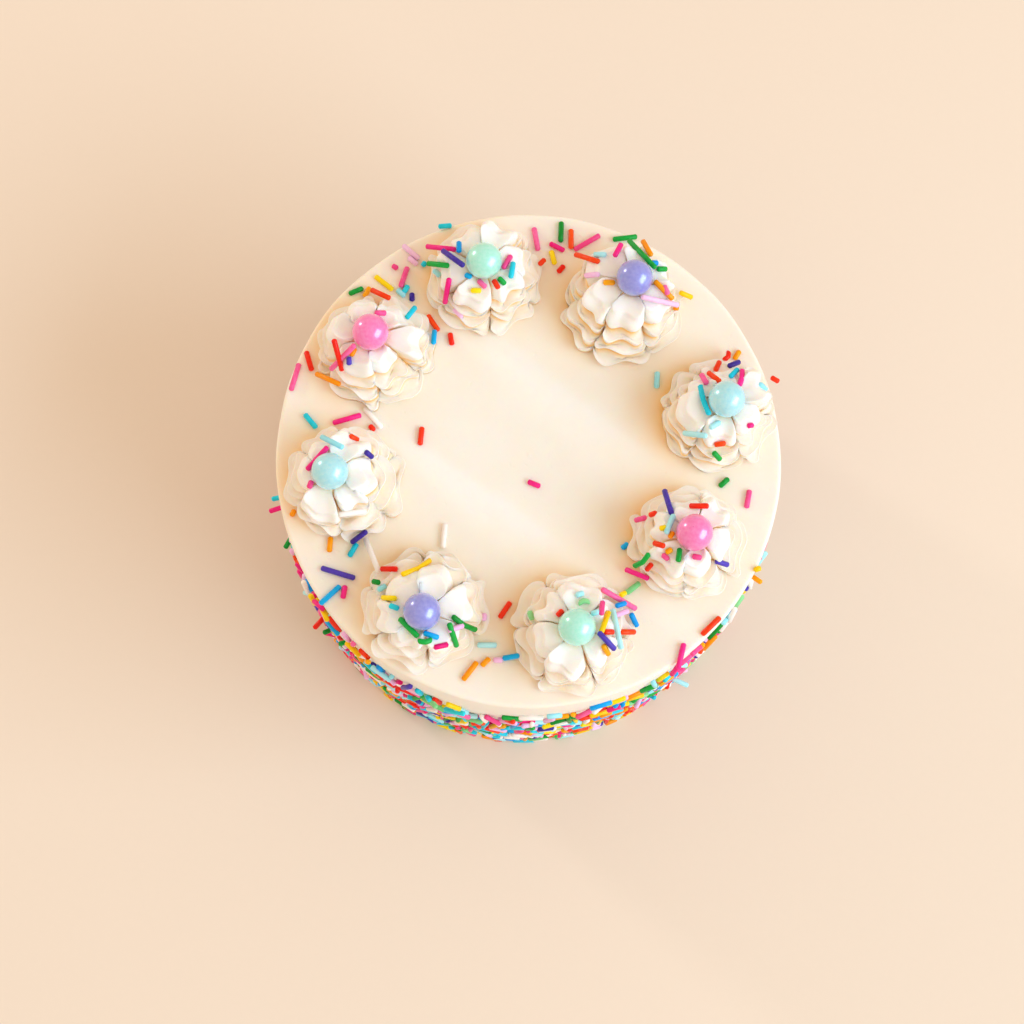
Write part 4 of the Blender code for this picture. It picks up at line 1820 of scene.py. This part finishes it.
@dataclass
class BirthdayCake:
    """Builds and dresses every piece of the cake in order."""

    camera: PhotoCamera
    pearl_order: tuple[str, ...] = ("blue", "lavender", "mint", "pink")
    pearl_tones: dict[str, tuple[Colour, Colour]] = field(default_factory=lambda: {
        "blue": (srgb(186, 243, 255), srgb(154, 232, 255)),
        "lavender": (srgb(154, 162, 242), srgb(126, 134, 232)),
        "mint": (srgb(184, 252, 242), srgb(156, 246, 228)),
        "pink": (srgb(255, 140, 210), srgb(250, 100, 188)),
    })

    def build(self) -> None:
        """Build the icing, the rosettes, the pearls and the sprinkles."""
        cream = whipped_icing_group()
        sugar = sugar_shell_group()
        carriers = Carriers(self.camera, CakeIcing().height)
        self.build_icing(cream, carriers)
        self.build_rosettes(cream, carriers)
        pearls = self.build_pearls(sugar)
        self.build_sprinkles(sugar, TopSprinkles(carriers, pearls))

    def build_icing(self, cream: bpy.types.NodeTree, carriers: Carriers) -> None:
        """Build the smooth icing in place of the cake's solid.

        Args:
            cream: the group that the icing's finish is made with.
            carriers: what can carry a sprinkle. The icing is added to it.
        """
        places = tuple(Rosette(index, 0.0).middle for index in range(len(ROSETTE_PLACES)))
        shape = CakeIcing(rosettes=places).shape()
        carriers.add(shape)
        finish = IcingFinish("smooth_icing", grain=0.35, strokes=1.2)
        add_piece("icing", mesh_from("icing", shape), finish.build(cream), "icing", "cake")

    def build_rosettes(self, cream: bpy.types.NodeTree, carriers: Carriers) -> None:
        """Build the piped rosettes in place of their solids.

        Args:
            cream: the group that the icing's finish is made with.
            carriers: what can carry a sprinkle. The rosettes are added to it.
        """
        finish = IcingFinish("piped_icing", grain=0.5, relief=0.00008).build(cream)
        for index in range(len(ROSETTE_PLACES)):
            node = f"rosette_{index + 1}"
            name = f"piped_{node}"
            shape = Rosette(index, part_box(node)[0].z).shape()
            carriers.add(shape)
            add_piece(name, mesh_from(name, shape), finish, "icing", node)

    def build_pearls(self, sugar: bpy.types.NodeTree) -> list[tuple[Vector, float]]:
        """Build the pearls in place of their solids.

        Args:
            sugar: the group that the pearls' finish is made with.

        Returns:
            The middle and the radius of each.
        """
        materials = {}
        for name, (pale, deep) in self.pearl_tones.items():
            finish = SugarFinish("pearl_" + name, pale, deep, coat=1.0, coat_index=1.9, sheen=0.3,
                                 metallic=0.15, speckle=0.25)
            materials[name] = finish.build(sugar)
        found = []
        for index in range(len(ROSETTE_PLACES)):
            node = f"pearl_{index + 1}"
            name = f"sugar_{node}"
            colour = self.pearl_order[index % len(self.pearl_order)]
            low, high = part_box(node)
            found.append(((low + high) / 2, (high.z - low.z) / 2))
            add_piece(name, mesh_from(name, Pearl(node).shape()), materials[colour], "pearl_" + colour, node)
        return found

    def build_sprinkles(self, sugar: bpy.types.NodeTree, top: TopSprinkles) -> None:
        """Build one piece of sprinkles for each colour.

        Args:
            sugar: the group that the sprinkles' finish is made with.
            top: the loose sprinkles of the top.
        """
        mould = SprinkleMould()
        rods: dict[Kind, list[Rod]] = {kind: [] for kind in Kind}
        for kind, rod in SideSprinkles().build() + top.build():
            rods[kind].append(rod)
        for kind, group in rods.items():
            finish = SugarFinish("sugar_" + kind.name.lower(), *kind.value, coat=0.08, gloss=0.22,
                                 tone_attribute=TONE)
            add_piece(kind.piece_name, mould.build(kind, group), finish.build(sugar), "icing")


def main() -> None:
    """Build the camera, the studio and the cake, with the noise seeded."""
    logging.basicConfig(level=logging.INFO, format="%(message)s")
    noise.seed_set(NOISE_SEED)
    camera = PhotoCamera()
    camera.build()
    Studio().build()
    BirthdayCake(camera).build()


if __name__ == "__main__":
    main()
